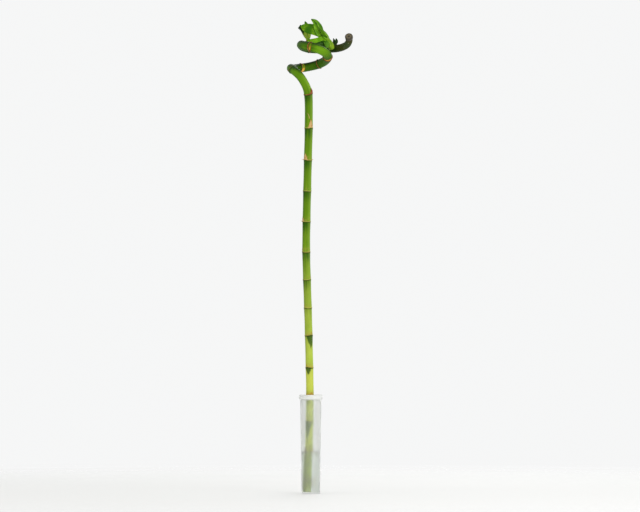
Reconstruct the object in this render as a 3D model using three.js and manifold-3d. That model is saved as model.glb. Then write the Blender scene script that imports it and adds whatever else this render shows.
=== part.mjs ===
// A curled lucky bamboo: one stalk with three side shoots, standing in a frosted tube of water.
// Millimetres, +Z up, and the front faces -Y. The origin is the centre of the tube's underside.

import * as THREE from 'three';
import { mergeVertices } from 'three/addons/utils/BufferGeometryUtils.js';
import Module from 'manifold-3d';

const wasm = await Module();
wasm.setup();

// Driving dimensions of the tube and its water.
const TUBE_HEIGHT = 135;
const TUBE_BASE_RADIUS = 12.6;
const TUBE_TOP_RADIUS = 14.5;
const TUBE_WALL = 1.3;
const TUBE_FLOOR = 2;
const COLLAR_RADIUS = 16;
const COLLAR_HEIGHT = 6.3;
const WATER_LEVEL = 56;
const CLEARANCE = 0.3;
const TUBE_SIDES = 36;
const FOOT_CHAMFER = 1;
const COLLAR_CHAMFER = 0.8;
const MOUTH_CHAMFER = 0.6;

// Driving dimensions of the stalk. Each node of the straight part has a height and a sideways sway,
// and the straight part leans from its foot at the back of the tube to its top at the front.
const STRAIGHT_NODES = [
  [19, -3.4], [58.7, -2.6], [98.5, -1.8], [135, -1.2], [172.8, -1.8], [216.7, -2.8], [254.5, -3.9],
  [293, -5.2], [330.8, -6.2], [372.6, -5.8], [414.7, -4.9], [457, -3.9], [500.9, -2.8], [546.8, -3.5],
];
const FOOT_LIFT = 0.45;
const FOOT_SWAY = -3.8;
const FOOT_BACK = 3.2;
const TOP_BACK = -11;
const STALK_SIDES = 14;
const STRAIGHT_STEP = 10;
const COIL_STEP = 4.4;

// The bend between the straight part and the coil, as points of the stalk's middle.
const FIRST_BEND = [
  [-5.8, -12.4, 555.8], [-9.7, -14, 563.6], [-14.8, -15.1, 571.1], [-20.8, -11.5, 577.1],
];

// The coil: half turns that share their outermost points, climbing clockwise seen from above.
const COIL_START = new THREE.Vector3(-26.9, 1.2, 582.2);
const HALF_TURN_RADII = [25, 18, 25];
const COIL_TURNS = 1.34;
const COIL_CLIMB = 32;
const COIL_TILT = 0.2;
const POINTS_PER_TURN = 12;

// The free end after the coil, which curls up and towards the front.
const FREE_END = [
  [36.6, 14.7, 610], [44, 10, 611.8], [50, 4.9, 615.2], [52.7, 0.6, 620.6], [52.2, -5.8, 625.2],
];

// Stalk radius at fractions of its length, and the ridge round each node.
const GIRTH = [
  [0, 5.4], [0.16, 5.4], [0.62, 5.8], [0.72, 6.15], [0.8, 6.4], [0.87, 6.6],
  [0.93, 6.1], [0.97, 5.3], [1, 4.8],
];
const RIDGE_HEIGHT = 0.45;
const RIDGE_REACH = 1.8;
const RIDGE_CREST = 0.5;
const WAIST = 0.2;
const WAIST_REACH = 15;

// Nodes along the coil, in turns after its start.
const COIL_NODE_TURNS = [-0.045, 0.16, 0.34, 0.5, 0.8, 1.157, 1.33];

// Rings of roots round the lowest two nodes, the thickness of a root at its foot and at its tip,
// and the distance that the middle of a root keeps from the inside of the tube.
const ROOT_RINGS = [
  { node: 1, count: 5, reach: 2.6, drop: 9, first: 0.4 },
  { node: 0, count: 7, reach: 2.4, drop: 12, first: 0.1 },
];
const ROOT_RADIUS = 0.62;
const ROOT_TIP_RADIUS = 0.32;
const ROOT_SIDES = 5;
const ROOT_ROOM = 2;

// Wax seal on the cut end.
const SEAL_SKIRT = 3.2;
const SEAL_WALL = 0.8;
const SEAL_TOP = 1.5;
const SEAL_DIMPLE = 0.5;

// Leaves: the thickness of a blade, its faces across and along, and the sides of a sheath. A blade's
// outline is part of an arch, from its foot on, with a belly, a roundness and a narrowest share.
const BLADE_THICKNESS = 0.7;
const BLADE_ACROSS = 4;
const BLADE_ALONG = 9;
const SHEATH_SIDES = 10;
const LEAF_FOOT = 0.12;
const CUT_LEAF_FOOT = 0.14;
const LEAF_BELLY = 0.85;
const LEAF_ROUNDNESS = 0.7;
const LEAF_NARROWEST = 0.05;

// Helpers

function vector([x, y, z]) {
  return new THREE.Vector3(x, y, z);
}

function mix(keys, at) {
  const next = keys.findIndex(([place]) => place >= at);
  if (next < 0) return keys[keys.length - 1][1];
  if (next === 0) return keys[0][1];
  const [fromPlace, from] = keys[next - 1];
  const [toPlace, to] = keys[next];
  return THREE.MathUtils.mapLinear(at, fromPlace, toPlace, from, to);
}

// Joins shared corners and drops the faces that collapse where a lathe meets its axis.
function closed(geometry) {
  const bare = geometry.clone();
  bare.deleteAttribute('normal');
  bare.deleteAttribute('uv');
  const merged = mergeVertices(bare, 1e-4);
  const corners = merged.getIndex().array;
  const kept = [];
  for (let i = 0; i < corners.length; i += 3) {
    const [a, b, c] = corners.slice(i, i + 3);
    if (a !== b && b !== c && c !== a) kept.push(a, b, c);
  }
  merged.setIndex(kept);
  return merged;
}

function toSolid(geometry) {
  const shape = closed(geometry);
  const vertProperties = new Float32Array(shape.getAttribute('position').array);
  const triVerts = new Uint32Array(shape.getIndex().array);
  return new wasm.Manifold(new wasm.Mesh({ numProp: 3, vertProperties, triVerts }));
}

function fromSolid(solid) {
  const { vertProperties, triVerts } = solid.getMesh();
  const geometry = new THREE.BufferGeometry();
  geometry.setAttribute('position', new THREE.BufferAttribute(vertProperties, 3));
  geometry.setIndex(new THREE.BufferAttribute(triVerts, 1));
  return geometry;
}

function fuse(solids) {
  return solids.reduce((whole, piece) => whole.add(piece));
}

// A curve with frames that don't twist, which carries a straight shape along itself.
class Spine {
  constructor(points, framesPerSpine = 40) {
    this.curve = new THREE.CatmullRomCurve3(points, false, 'centripetal');
    this.curve.arcLengthDivisions = framesPerSpine * 5;
    this.length = this.curve.getLength();
    this.count = framesPerSpine;
    this.frames = this.curve.computeFrenetFrames(framesPerSpine, false);
  }

  // Where the point (x, y) of the cross-section at a length along the spine ends up.
  // Past either end the spine runs on straight.
  carry(x, y, along) {
    const inside = THREE.MathUtils.clamp(along, 0, this.length);
    const step = (inside / this.length) * this.count;
    const low = Math.min(Math.floor(step), this.count - 1);
    const { tangents, normals, binormals } = this.frames;
    const normal = normals[low].clone().lerp(normals[low + 1], step - low).normalize();
    const binormal = binormals[low].clone().lerp(binormals[low + 1], step - low).normalize();
    const tangent = tangents[low].clone().lerp(tangents[low + 1], step - low).normalize();
    return this.curve.getPointAt(inside / this.length)
      .addScaledVector(normal, x)
      .addScaledVector(binormal, y)
      .addScaledVector(tangent, along - inside);
  }

  // Length along the spine of the place nearest to a point.
  lengthTo(point) {
    const samples = this.count * 5;
    let best = 0;
    let nearest = Infinity;
    for (let i = 0; i <= samples; i += 1) {
      const distance = this.curve.getPointAt(i / samples).distanceTo(point);
      if (distance < nearest) {
        nearest = distance;
        best = i;
      }
    }
    return (best / samples) * this.length;
  }
}

// A rod turned straight on a lathe, with a radius for each station, and then bent along a spine.
function bentRod(spine, stations, radiusAt, sides) {
  const profile = stations.map((along) => new THREE.Vector2(radiusAt(along), along));
  profile.unshift(new THREE.Vector2(0, stations[0]));
  profile.push(new THREE.Vector2(0, stations[stations.length - 1]));
  const rod = new THREE.LatheGeometry(profile, sides);
  rod.rotateX(Math.PI / 2);
  const corners = rod.getAttribute('position');
  for (let i = 0; i < corners.count; i += 1) {
    const place = spine.carry(corners.getX(i), corners.getY(i), corners.getZ(i));
    corners.setXYZ(i, place.x, place.y, place.z);
  }
  return toSolid(rod);
}

function evenStations(from, to, count) {
  return Array.from({ length: count + 1 }, (_, i) => from + ((to - from) * i) / count);
}

// The stalk's middle line

function straightPoint(height, sway) {
  const foot = TUBE_FLOOR + FOOT_LIFT;
  const top = STRAIGHT_NODES[STRAIGHT_NODES.length - 1][0];
  return new THREE.Vector3(sway, THREE.MathUtils.mapLinear(height, foot, top, FOOT_BACK, TOP_BACK), height);
}

function coilPoint(turn) {
  const half = THREE.MathUtils.clamp(Math.floor(turn * 2), 0, HALF_TURN_RADII.length - 1);
  let edge = COIL_START.x;
  for (let done = 0; done < half; done += 1) {
    edge += (done % 2 === 0 ? 2 : -2) * HALF_TURN_RADII[done];
  }
  const radius = HALF_TURN_RADII[half];
  const middle = edge + (half % 2 === 0 ? radius : -radius);
  const angle = Math.PI * (1 - 2 * turn);
  const back = radius * Math.sin(angle);
  const climb = COIL_CLIMB * Math.min(turn, 1);
  return new THREE.Vector3(
    middle + radius * Math.cos(angle),
    COIL_START.y + back,
    COIL_START.z + climb - COIL_TILT * back,
  );
}

function stalkPoints() {
  const points = [straightPoint(TUBE_FLOOR + FOOT_LIFT, FOOT_SWAY)];
  STRAIGHT_NODES.forEach(([height, sway]) => points.push(straightPoint(height, sway)));
  FIRST_BEND.forEach((point) => points.push(vector(point)));
  for (let turn = 0; turn <= COIL_TURNS; turn += 1 / POINTS_PER_TURN) points.push(coilPoint(turn));
  FREE_END.forEach((point) => points.push(vector(point)));
  return points;
}

const STALK = new Spine(stalkPoints(), 500);

const STALK_NODES = [
  ...STRAIGHT_NODES.map(([height, sway]) => STALK.lengthTo(straightPoint(height, sway))),
  ...COIL_NODE_TURNS.map((turn) => STALK.lengthTo(coilPoint(turn))),
];

// A sharp ridge at each node, and a slight waist half way between two nodes.
function stalkRadius(along) {
  const girth = mix(GIRTH, along / STALK.length);
  const gap = Math.min(...STALK_NODES.map((node) => Math.abs(along - node)));
  const ridge = RIDGE_HEIGHT * Math.max(0, 1 - gap / RIDGE_REACH);
  return girth + ridge - WAIST * Math.min(1, gap / WAIST_REACH);
}

// Stations close together round each node and in the coil, and wider apart on the straight part.
function stalkStations() {
  const steps = [-RIDGE_REACH, -RIDGE_CREST, RIDGE_CREST, RIDGE_REACH];
  const ridge = STALK_NODES.flatMap((node) => steps.map((step) => node + step));
  const coilFrom = STALK_NODES[STRAIGHT_NODES.length - 1];
  const plain = [];
  let along = 0;
  while (along < STALK.length - RIDGE_REACH) {
    plain.push(along);
    along += along < coilFrom ? STRAIGHT_STEP : COIL_STEP;
  }
  const apart = (place) => ridge.every((other) => Math.abs(other - place) > RIDGE_REACH - 0.2);
  const spread = plain.filter((place) => place === 0 || apart(place));
  return [...spread, ...ridge, STALK.length].sort((a, b) => a - b);
}

// The stalk without its roots. A grown one is thicker all round and runs on past both ends.
function stalkRod(grown) {
  const stations = stalkStations();
  stations[0] -= grown * 4;
  stations[stations.length - 1] += grown * 4;
  return bentRod(STALK, stations, (along) => stalkRadius(Math.max(0, along)) + grown, STALK_SIDES);
}

// A point as it is, or drawn in towards the middle of the tube until it has the room of a root.
function insideTube(place) {
  const room = tubeRadius(place.z) - TUBE_WALL - ROOT_ROOM;
  const share = Math.min(1, room / Math.hypot(place.x, place.y));
  return new THREE.Vector3(place.x * share, place.y * share, place.z);
}

// A root starts inside the stalk, leaves it at the node and hangs down in the water.
function rootRod({ node, reach, drop }, angle, grown) {
  const middle = STALK.curve.getPointAt(STALK_NODES[node] / STALK.length);
  const out = new THREE.Vector3(Math.cos(angle), Math.sin(angle), 0);
  const girth = stalkRadius(STALK_NODES[node]);
  const fall = drop * (0.7 + 0.3 * Math.sin(5 * angle));
  const points = [
    [girth - 2.5, 1], [girth - 0.4, 0], [girth + reach * 0.75, -fall * 0.3], [girth + reach, -fall],
  ].map(([radius, height]) => {
    const place = middle.clone().addScaledVector(out, radius);
    place.z += height;
    return insideTube(place);
  });
  const spine = new Spine(points, 12);
  const keys = [[0, ROOT_RADIUS + grown], [1, ROOT_TIP_RADIUS + grown]];
  const taper = (along) => mix(keys, along / spine.length);
  return bentRod(spine, evenStations(0, spine.length + grown, 5), taper, ROOT_SIDES);
}

function rootRods(grown) {
  return ROOT_RINGS.flatMap((ring) => Array.from({ length: ring.count }, (_, i) => {
    const angle = ring.first + (2 * Math.PI * i) / ring.count;
    return rootRod(ring, angle, grown);
  }));
}

function stalkWithRoots(grown) {
  return fuse([stalkRod(grown), ...rootRods(grown)]);
}

// Tube and water

function tubeRadius(height) {
  return THREE.MathUtils.mapLinear(height, 0, TUBE_HEIGHT, TUBE_BASE_RADIUS, TUBE_TOP_RADIUS);
}

function turned(outline, sides) {
  const profile = outline.map(([radius, height]) => new THREE.Vector2(radius, height));
  const shape = new THREE.LatheGeometry(profile, sides);
  shape.rotateX(Math.PI / 2);
  return shape;
}

// Outline of the cup: underside, outer wall, rolled collar, mouth, inner wall and floor.
function tubeGeometry() {
  const collarFoot = TUBE_HEIGHT - COLLAR_HEIGHT;
  const bore = (height) => tubeRadius(height) - TUBE_WALL;
  return fromSolid(toSolid(turned([
    [0, 0], [TUBE_BASE_RADIUS - FOOT_CHAMFER, 0], [TUBE_BASE_RADIUS, FOOT_CHAMFER],
    [tubeRadius(collarFoot), collarFoot],
    [COLLAR_RADIUS - 0.5, collarFoot + 0.3], [COLLAR_RADIUS, collarFoot + COLLAR_CHAMFER],
    [COLLAR_RADIUS, TUBE_HEIGHT - COLLAR_CHAMFER], [COLLAR_RADIUS - COLLAR_CHAMFER, TUBE_HEIGHT],
    [bore(TUBE_HEIGHT) + MOUTH_CHAMFER, TUBE_HEIGHT], [bore(TUBE_HEIGHT), TUBE_HEIGHT - MOUTH_CHAMFER],
    [bore(TUBE_FLOOR + FOOT_CHAMFER), TUBE_FLOOR + FOOT_CHAMFER],
    [bore(TUBE_FLOOR) - FOOT_CHAMFER, TUBE_FLOOR], [0, TUBE_FLOOR],
  ], TUBE_SIDES)));
}

// The water fills the cup up to its level, with a plain hole for the stalk and its roots.
function waterGeometry() {
  const floor = TUBE_FLOOR + CLEARANCE;
  const edge = (height) => tubeRadius(height) - TUBE_WALL - CLEARANCE;
  const fill = toSolid(turned([
    [0, floor], [edge(floor) - FOOT_CHAMFER - 0.3, floor],
    [edge(floor + FOOT_CHAMFER + 0.2), floor + FOOT_CHAMFER + 0.2],
    [edge(WATER_LEVEL), WATER_LEVEL], [0, WATER_LEVEL],
  ], TUBE_SIDES));
  return fromSolid(fill.subtract(stalkWithRoots(CLEARANCE)));
}

// Wax seal: a shallow cap over the cut end, with a rolled edge and a dimple.
function sealGeometry() {
  const end = STALK.length;
  const inner = stalkRadius(end) + CLEARANCE;
  const outer = inner + SEAL_WALL;
  const cap = [
    [inner, -SEAL_SKIRT], [outer - 0.2, -SEAL_SKIRT], [outer, -SEAL_SKIRT + 0.6],
    [outer, 0.6], [outer - 0.9, SEAL_TOP], [outer * 0.62, SEAL_TOP],
    [outer * 0.5, SEAL_TOP - SEAL_DIMPLE], [0, SEAL_TOP - SEAL_DIMPLE],
    [0, CLEARANCE], [inner, CLEARANCE], [inner, -SEAL_SKIRT],
  ];
  const shape = turned(cap, STALK_SIDES);
  const corners = shape.getAttribute('position');
  for (let i = 0; i < corners.count; i += 1) {
    const place = STALK.carry(corners.getX(i), corners.getY(i), end + corners.getZ(i));
    corners.setXYZ(i, place.x, place.y, place.z);
  }
  return fromSolid(toSolid(shape));
}

// Leaves

// Width of a leaf along its length, as a share of its greatest width. A cut leaf says how much of
// the arch it reaches. A higher belly moves the widest place towards the tip.
function leafOutline(t, cut, belly) {
  const reached = cut ? CUT_LEAF_FOOT + cut * t : LEAF_FOOT + (1 - LEAF_FOOT) * t ** belly;
  return Math.max(Math.sin(Math.PI * Math.min(1, reached)) ** LEAF_ROUNDNESS, LEAF_NARROWEST);
}

// One blade: a thin box bent along its spine, as wide as its outline, and cupped across by its fold.
// The side direction says which way the blade's width points at its foot and at its tip.
function blade({ spine, side, tipSide = side, width, fold, cut = 0, belly = LEAF_BELLY }) {
  const line = new THREE.CatmullRomCurve3(spine.map(vector), false, 'centripetal');
  const box = new THREE.BoxGeometry(2, 1, 2, BLADE_ACROSS, BLADE_ALONG, 1);
  const corners = box.getAttribute('position');
  for (let i = 0; i < corners.count; i += 1) {
    const t = corners.getY(i) + 0.5;
    const tangent = line.getTangentAt(t);
    const across = vector(side).lerp(vector(tipSide), t);
    across.addScaledVector(tangent, -across.dot(tangent)).normalize();
    const face = new THREE.Vector3().crossVectors(across, tangent);
    const share = corners.getX(i);
    const half = (width / 2) * leafOutline(t, cut, belly);
    const place = line.getPointAt(t)
      .addScaledVector(across, share * half * (1 - 0.3 * fold * Math.abs(share)))
      .addScaledVector(face, fold * half * share * share + corners.getZ(i) * (BLADE_THICKNESS / 2));
    corners.setXYZ(i, place.x, place.y, place.z);
  }
  return toSolid(box);
}

function sheath(points, radii, sides) {
  const spine = new Spine(points.map(vector), 24);
  const keys = radii.map((radius, i) => [i / (radii.length - 1), radius]);
  const taper = (along) => mix(keys, along / spine.length);
  return bentRod(spine, evenStations(0, spine.length, 6), taper, sides);
}

// Shoot at the back of the coil: a short sheath, one shortened leaf and one pointed leaf.
const BACK_SHOOT = {
  sheaths: [
    {
      points: [[-2.2, 22.5, 612.5], [-3, 25.5, 619], [-4.6, 29.5, 624.5], [-6.8, 32, 629]],
      radii: [3.4, 3.2, 2.8, 1.8],
    },
  ],
  blades: [
    { // shortened
      spine: [[-4.4, 28, 623], [-7, 32.5, 629.5], [-11.4, 34.6, 637.4], [-16.2, 35, 640.9]],
      side: [0.5, -0.1, 0.86], width: 8, fold: 0.3, cut: 0.6,
    },
    { // pointed
      spine: [[-3.6, 27, 623], [-4.6, 31.5, 632.5], [-5.6, 34, 641], [-8.2, 35, 648]],
      side: [1, 0.1, 0.2], width: 10.4, fold: 0.35,
    },
  ],
};

// Shoot at the right of the coil, with its long, broad, narrow and shortened leaves.
const RIGHT_SHOOT = {
  sheaths: [
    {
      points: [[29, 14, 609.6], [26.8, 12, 614.2], [23.8, 9.9, 619.2], [20.4, 9.2, 623.4]],
      radii: [4.2, 4.9, 4.6, 2.8],
    },
  ],
  blades: [
    { // broad
      spine: [[21, 9.6, 622.4], [12, 6.6, 629], [4.4, 4.2, 634.5], [-4, 5, 637], [-13.8, 7.4, 640.8]],
      side: [0.5, 0, 0.87], width: 15.6, fold: 0.2, belly: 1.45,
    },
    { // long, behind
      spine: [[21.4, 9.6, 621.6], [15.4, 9.6, 630.6], [12, 6.6, 639], [7.2, 2, 646.4], [0.6, -2, 650]],
      side: [0.55, 0.8, 0.1], tipSide: [0.3, 0.4, 0.8], width: 9, fold: 0.5,
    },
    { // long, in front
      spine: [
        [20.4, 7.4, 621.4], [15, 5, 625.2], [11.4, 4, 630.4], [8.1, 1.6, 638], [5.6, -1, 644.3],
        [0.4, -4.4, 648.5],
      ],
      side: [0.75, -0.6, 0.2], tipSide: [0.5, -0.4, 0.8], width: 7.8, fold: 0.5,
    },
    { // narrow
      spine: [[25, 13.2, 619.4], [22.2, 14, 626.7], [16.9, 12.6, 635]],
      side: [0.8, 0.5, 0.3], width: 4.4, fold: 0.5,
    },
    { // bright, bent down
      spine: [[23, 7.6, 620.6], [16.4, 4, 623.2], [10, 1, 621.5], [3.8, -2.4, 619.9], [-6.8, -6, 619]],
      side: [0.2, 0.2, 0.95], tipSide: [0.2, -0.1, 0.9], width: 6.8, fold: 0.35, cut: 0.72,
    },
    { // dark, behind the bright one
      spine: [
        [21.8, 12, 619], [13.4, 16, 620.4], [9.4, 17.4, 620.2], [5.7, 18.4, 619.4], [1.9, 19, 618],
        [-1, 19, 616.8],
      ],
      side: [0.1, 0.3, 0.95], width: 6.4, fold: 0.3,
    },
    { // dark, below the bright one
      spine: [[25.4, 9.6, 617], [18.8, 7.2, 615.6], [13.2, 5.4, 615], [3.4, 3.6, 614.8]],
      side: [0.1, 0.2, 1], width: 10.4, fold: 0.35, cut: 0.6,
    },
    { // flap of the sheath
      spine: [[22.2, 8.4, 624.4], [22.6, 4.6, 617], [21.8, 3.2, 609.6]],
      side: [0.95, 0.3, 0.1], width: 12, fold: 0.3, belly: 0.6,
    },
  ],
};

// Dark bud at the foot of the free end, in its own small sheath.
const BUD_SHOOT = {
  sheaths: [
    { points: [[33.4, 18.4, 612], [33, 18.4, 616], [32.3, 18, 620.2]], radii: [2.8, 3, 2.3] },
    { points: [[33, 18, 615.5], [32.2, 17.8, 620], [31, 17.4, 624]], radii: [2, 2.2, 0.4] },
  ],
  blades: [
    {
      spine: [[34.2, 16.6, 616], [34.8, 16.4, 620], [34.8, 16.4, 624]],
      side: [0.8, 0.5, 0], width: 5.2, fold: 0.5,
    },
  ],
};

// One leafy shoot, fused from its sheaths and blades and cut clear of the stalk that it grows from.
function shootGeometry({ sheaths, blades }, stalk) {
  const stems = sheaths.map(({ points, radii }) => sheath(points, radii, SHEATH_SIDES));
  const leaves = blades.map((leaf) => blade(leaf));
  return fromSolid(fuse([...stems, ...leaves]).subtract(stalk));
}

// Materials

function finish(color, roughness) {
  return new THREE.MeshStandardMaterial({ color, roughness, metalness: 0 });
}

const FROSTED = finish(0xdcdce2, 0.55);
FROSTED.transparent = true;
FROSTED.opacity = 0.5;
const WATER = finish(0xdfeee6, 0.05);
WATER.transparent = true;
WATER.opacity = 0.35;
const STALK_GREEN = finish(0x6f9c2a, 0.42);
const LEAF_GREEN = finish(0x3f8a1c, 0.45);
const BUD_GREEN = finish(0x22401a, 0.5);
const WAX_BROWN = finish(0x4a4034, 0.5);

// Assembly

const part = new THREE.Group();

function addPiece(name, geometry, material) {
  const piece = new THREE.Mesh(geometry, material);
  piece.name = name;
  part.add(piece);
}

const stalkClear = stalkRod(CLEARANCE);

addPiece('tube', tubeGeometry(), FROSTED);
addPiece('water', waterGeometry(), WATER);
addPiece('stalk', fromSolid(stalkWithRoots(0)), STALK_GREEN);
addPiece('wax_seal', sealGeometry(), WAX_BROWN);
addPiece('back_shoot', shootGeometry(BACK_SHOOT, stalkClear), LEAF_GREEN);
addPiece('right_shoot', shootGeometry(RIGHT_SHOOT, stalkClear), LEAF_GREEN);
addPiece('bud_shoot', shootGeometry(BUD_SHOOT, stalkClear), BUD_GREEN);

export default part;
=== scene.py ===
# %% [markdown]
# # Curled lucky bamboo in a frosted tube
# One green cane stands in a frosted plastic tube with water round its roots. Its head was turned
# while it grew, so it curls into a coil, with three side shoots and a waxed cut end. The packed
# solids already have the true sizes, so this lesson dresses them: every piece below keeps close
# to the middle line of the solid that it stands for, but has more faces and a painted finish.

# %% Load the packed model
import math

import bmesh
import bpy
import numpy as np
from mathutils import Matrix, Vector, noise


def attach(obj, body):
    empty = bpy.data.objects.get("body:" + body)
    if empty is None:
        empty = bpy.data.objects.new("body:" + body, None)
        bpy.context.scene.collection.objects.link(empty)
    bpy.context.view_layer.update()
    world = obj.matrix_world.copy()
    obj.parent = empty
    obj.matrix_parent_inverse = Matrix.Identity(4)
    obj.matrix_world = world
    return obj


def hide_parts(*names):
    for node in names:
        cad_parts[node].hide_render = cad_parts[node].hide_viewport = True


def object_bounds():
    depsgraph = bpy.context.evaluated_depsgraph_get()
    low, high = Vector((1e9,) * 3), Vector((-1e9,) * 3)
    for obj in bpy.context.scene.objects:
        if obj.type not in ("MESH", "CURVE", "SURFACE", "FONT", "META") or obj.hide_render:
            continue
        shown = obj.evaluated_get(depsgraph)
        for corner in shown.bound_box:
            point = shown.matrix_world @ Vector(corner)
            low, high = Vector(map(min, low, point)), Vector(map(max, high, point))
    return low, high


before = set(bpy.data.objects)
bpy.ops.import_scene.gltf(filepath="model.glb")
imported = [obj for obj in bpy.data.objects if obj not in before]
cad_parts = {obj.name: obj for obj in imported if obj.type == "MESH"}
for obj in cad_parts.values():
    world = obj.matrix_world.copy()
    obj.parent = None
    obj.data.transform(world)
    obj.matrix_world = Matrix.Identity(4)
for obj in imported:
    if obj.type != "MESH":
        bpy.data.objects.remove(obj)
cad_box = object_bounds()
scene = bpy.context.scene
MM = 0.001  # the frame counts in metres, and this lesson in millimetres
print("solids:", ", ".join(sorted(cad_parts)))

# %% [markdown]
# The picture was taken level, from the front, with a long lens, so the cane shows no
# convergence. A long lens far away does the same here, and the distance follows from how many
# millimetres one pixel covers. The middle of the object sits in the middle of the picture.

# %% Camera
IMAGE_WIDTH = 640
MM_PER_PIXEL = 1.37
LENS = 400
SENSOR = 36
FAR_CLIP = 50

low, high = cad_box
middle = (low + high) / 2
distance = IMAGE_WIDTH * MM_PER_PIXEL * MM * LENS / SENSOR
camera = bpy.data.objects.new("camera", bpy.data.cameras.new("camera"))
camera.data.lens = LENS
camera.data.sensor_width = SENSOR
camera.data.clip_end = FAR_CLIP
camera.location = (middle.x, -distance, middle.z)
camera.rotation_euler = (math.radians(90), 0, 0)
scene.collection.objects.link(camera)
scene.camera = camera
print(f"camera {distance:.2f} m in front")

# %% [markdown]
# A product picture is lit by large white panels, so that the shades on the cane are long and
# soft. Here the sky is pale, a big panel stands at the right front, a weaker one at the left,
# and a third lights the shoots from above and behind.

# %% Light
SKY = (0.96, 0.965, 0.965, 1)
SKY_STRENGTH = 0.96
PANELS = [  # name, place and size in metres, watts
    ("key panel", (1.2, -1.8, 0.35), 1.3, 27),
    ("fill panel", (-1.6, -1.1, 0.9), 1.2, 5),
    ("back panel", (0.5, 1.7, 1.2), 1.1, 10),
]

scene.view_settings.view_transform = "Standard"
world = bpy.data.worlds.new("sky")
world.use_nodes = True
world.node_tree.nodes["Background"].inputs["Color"].default_value = SKY
world.node_tree.nodes["Background"].inputs["Strength"].default_value = SKY_STRENGTH
scene.world = world
for name, place, size, watts in PANELS:
    panel = bpy.data.objects.new(name, bpy.data.lights.new(name, "AREA"))
    panel.data.size = size
    panel.data.energy = watts
    panel.location = place
    panel.rotation_euler = (middle - Vector(place)).to_track_quat("-Z", "Y").to_euler()
    scene.collection.objects.link(panel)
print(len(PANELS), "light panels")

# %% [markdown]
# A finish is a material whose patterns are sums of noises and masks. Writing them as sums keeps
# them readable: the small class below wraps a socket, and each sign of arithmetic on it adds a
# Math node. A mask is a value that has been cut off softly, by a rise or by a stretch with two
# ends. Nothing that grows has an even edge, so a value can also be frayed by a noise.

# %% Sums of sockets
class Link:
    """A value that varies over a surface, which can be used in sums."""

    def __init__(self, finish, socket):
        self.finish = finish
        self.socket = socket

    def sum(self, operation, *others):
        inputs = dict(enumerate([self, *others]))
        return self.finish.node("Math", inputs, operation=operation)

    def __add__(self, other):
        return self.sum("ADD", other)

    def __sub__(self, other):
        return self.sum("SUBTRACT", other)

    def __mul__(self, other):
        return self.sum("MULTIPLY", other)

    def __rsub__(self, other):
        return (self * -1) + other

    __radd__ = __add__
    __rmul__ = __mul__

    def higher(self, other):
        return self.sum("MAXIMUM", other)

    def size(self):
        return self.sum("ABSOLUTE")

    def rise(self, start, end):
        """0 before start and 1 after end, with a soft passage between; start may be past end."""
        low, high = sorted((start, end))
        inputs = {"Value": self, "From Min": low, "From Max": high}
        made = self.finish.node("MapRange", inputs, interpolation_type="SMOOTHSTEP")
        return made if start < end else 1 - made

    def stretch(self, start, full, fading, end):
        """1 from full to fading, and 0 before start and after end."""
        return self.rise(start, full) * self.rise(end, fading)

    def frayed(self, grain, amount):
        """The same value, made uneven by a noise between 0 and 1."""
        return self + (grain - 0.5) * amount


print("a link knows", ", ".join(word for word in vars(Link) if not word.startswith("_")))

# %% [markdown]
# The finish itself holds one Principled shader, and one of its methods adds every kind of node.
# Colours go through a Mix node, because a Math node would turn them grey. Most finishes here are
# built up as a painter glazes: over a ground lie thin layers, and each is a colour with the share
# of it that shows.

# %% Finishes
MIX_SHARE, MIX_FIRST, MIX_SECOND, MIX_RESULT = 0, 6, 7, 2  # a colour Mix node's sockets


class Finish:
    """A material for one kind of surface."""

    def __init__(self, name, **constants):
        self.material = bpy.data.materials.new(name)
        self.material.use_nodes = True
        self.tree = self.material.node_tree
        self.shader = self.tree.nodes["Principled BSDF"]
        for socket, value in constants.items():
            self.shader.inputs[socket.replace("_", " ")].default_value = value

    def node(self, kind, inputs, out=0, **settings):
        """Adds a node: its settings first, then its sockets."""
        made = self.tree.nodes.new("ShaderNode" + kind)
        for setting, value in settings.items():
            setattr(made, setting, value)
        for socket, value in inputs.items():
            self.feed(made.inputs[socket], value)
        return Link(self, made.outputs[out])

    def feed(self, socket, value):
        if isinstance(value, Link):
            self.tree.links.new(value.socket, socket)
        else:
            socket.default_value = value

    def read(self, name):
        """A pattern's coordinates or masks, which the mesh carries as an attribute."""
        return self.node("Attribute", {}, out="Vector", attribute_name=name)

    def parts(self, vector):
        split = self.node("SeparateXYZ", {"Vector": vector})
        return [Link(self, split.socket.node.outputs[axis]) for axis in "XYZ"]

    def stretched(self, vector, factors):
        return self.node("VectorMath", {0: vector, 1: factors}, operation="MULTIPLY")

    def length(self, vector):
        return self.node("VectorMath", {0: vector}, out="Value", operation="LENGTH")

    def grain(self, vector, scale, detail=3):
        """Noise between 0 and 1."""
        return self.node("TexNoise", {"Vector": vector, "Scale": scale, "Detail": detail})

    def dots(self, vector, scale):
        """Distance to the nearest of many scattered points."""
        return self.node("TexVoronoi", {"Vector": vector, "Scale": scale})

    def blend(self, share, first, second):
        """The first colour where share is 0, the second where it is 1."""
        inputs = {MIX_SHARE: share, MIX_FIRST: first, MIX_SECOND: second}
        return self.node("Mix", inputs, out=MIX_RESULT, data_type="RGBA")

    def layered(self, ground, *layers):
        """Colours laid over a ground in turn, each with the share of it that shows."""
        for share, cover in layers:
            ground = self.blend(share, ground, cover)
        return ground

    def relief(self, height, strength, reach):
        inputs = {"Height": height, "Strength": strength, "Distance": reach}
        self.feed(self.shader.inputs["Normal"], self.node("Bump", inputs))

    def paint(self, **sockets):
        for socket, value in sockets.items():
            self.feed(self.shader.inputs[socket.replace("_", " ")], value)


print("a finish knows", ", ".join(word for word in vars(Finish) if not word.startswith("_")))

# %% [markdown]
# Colours are given as they look on a screen, from 0 to 255, because that is how one reads them
# off a thing. A shader counts light instead, so each is turned into shares of light first.

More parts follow.
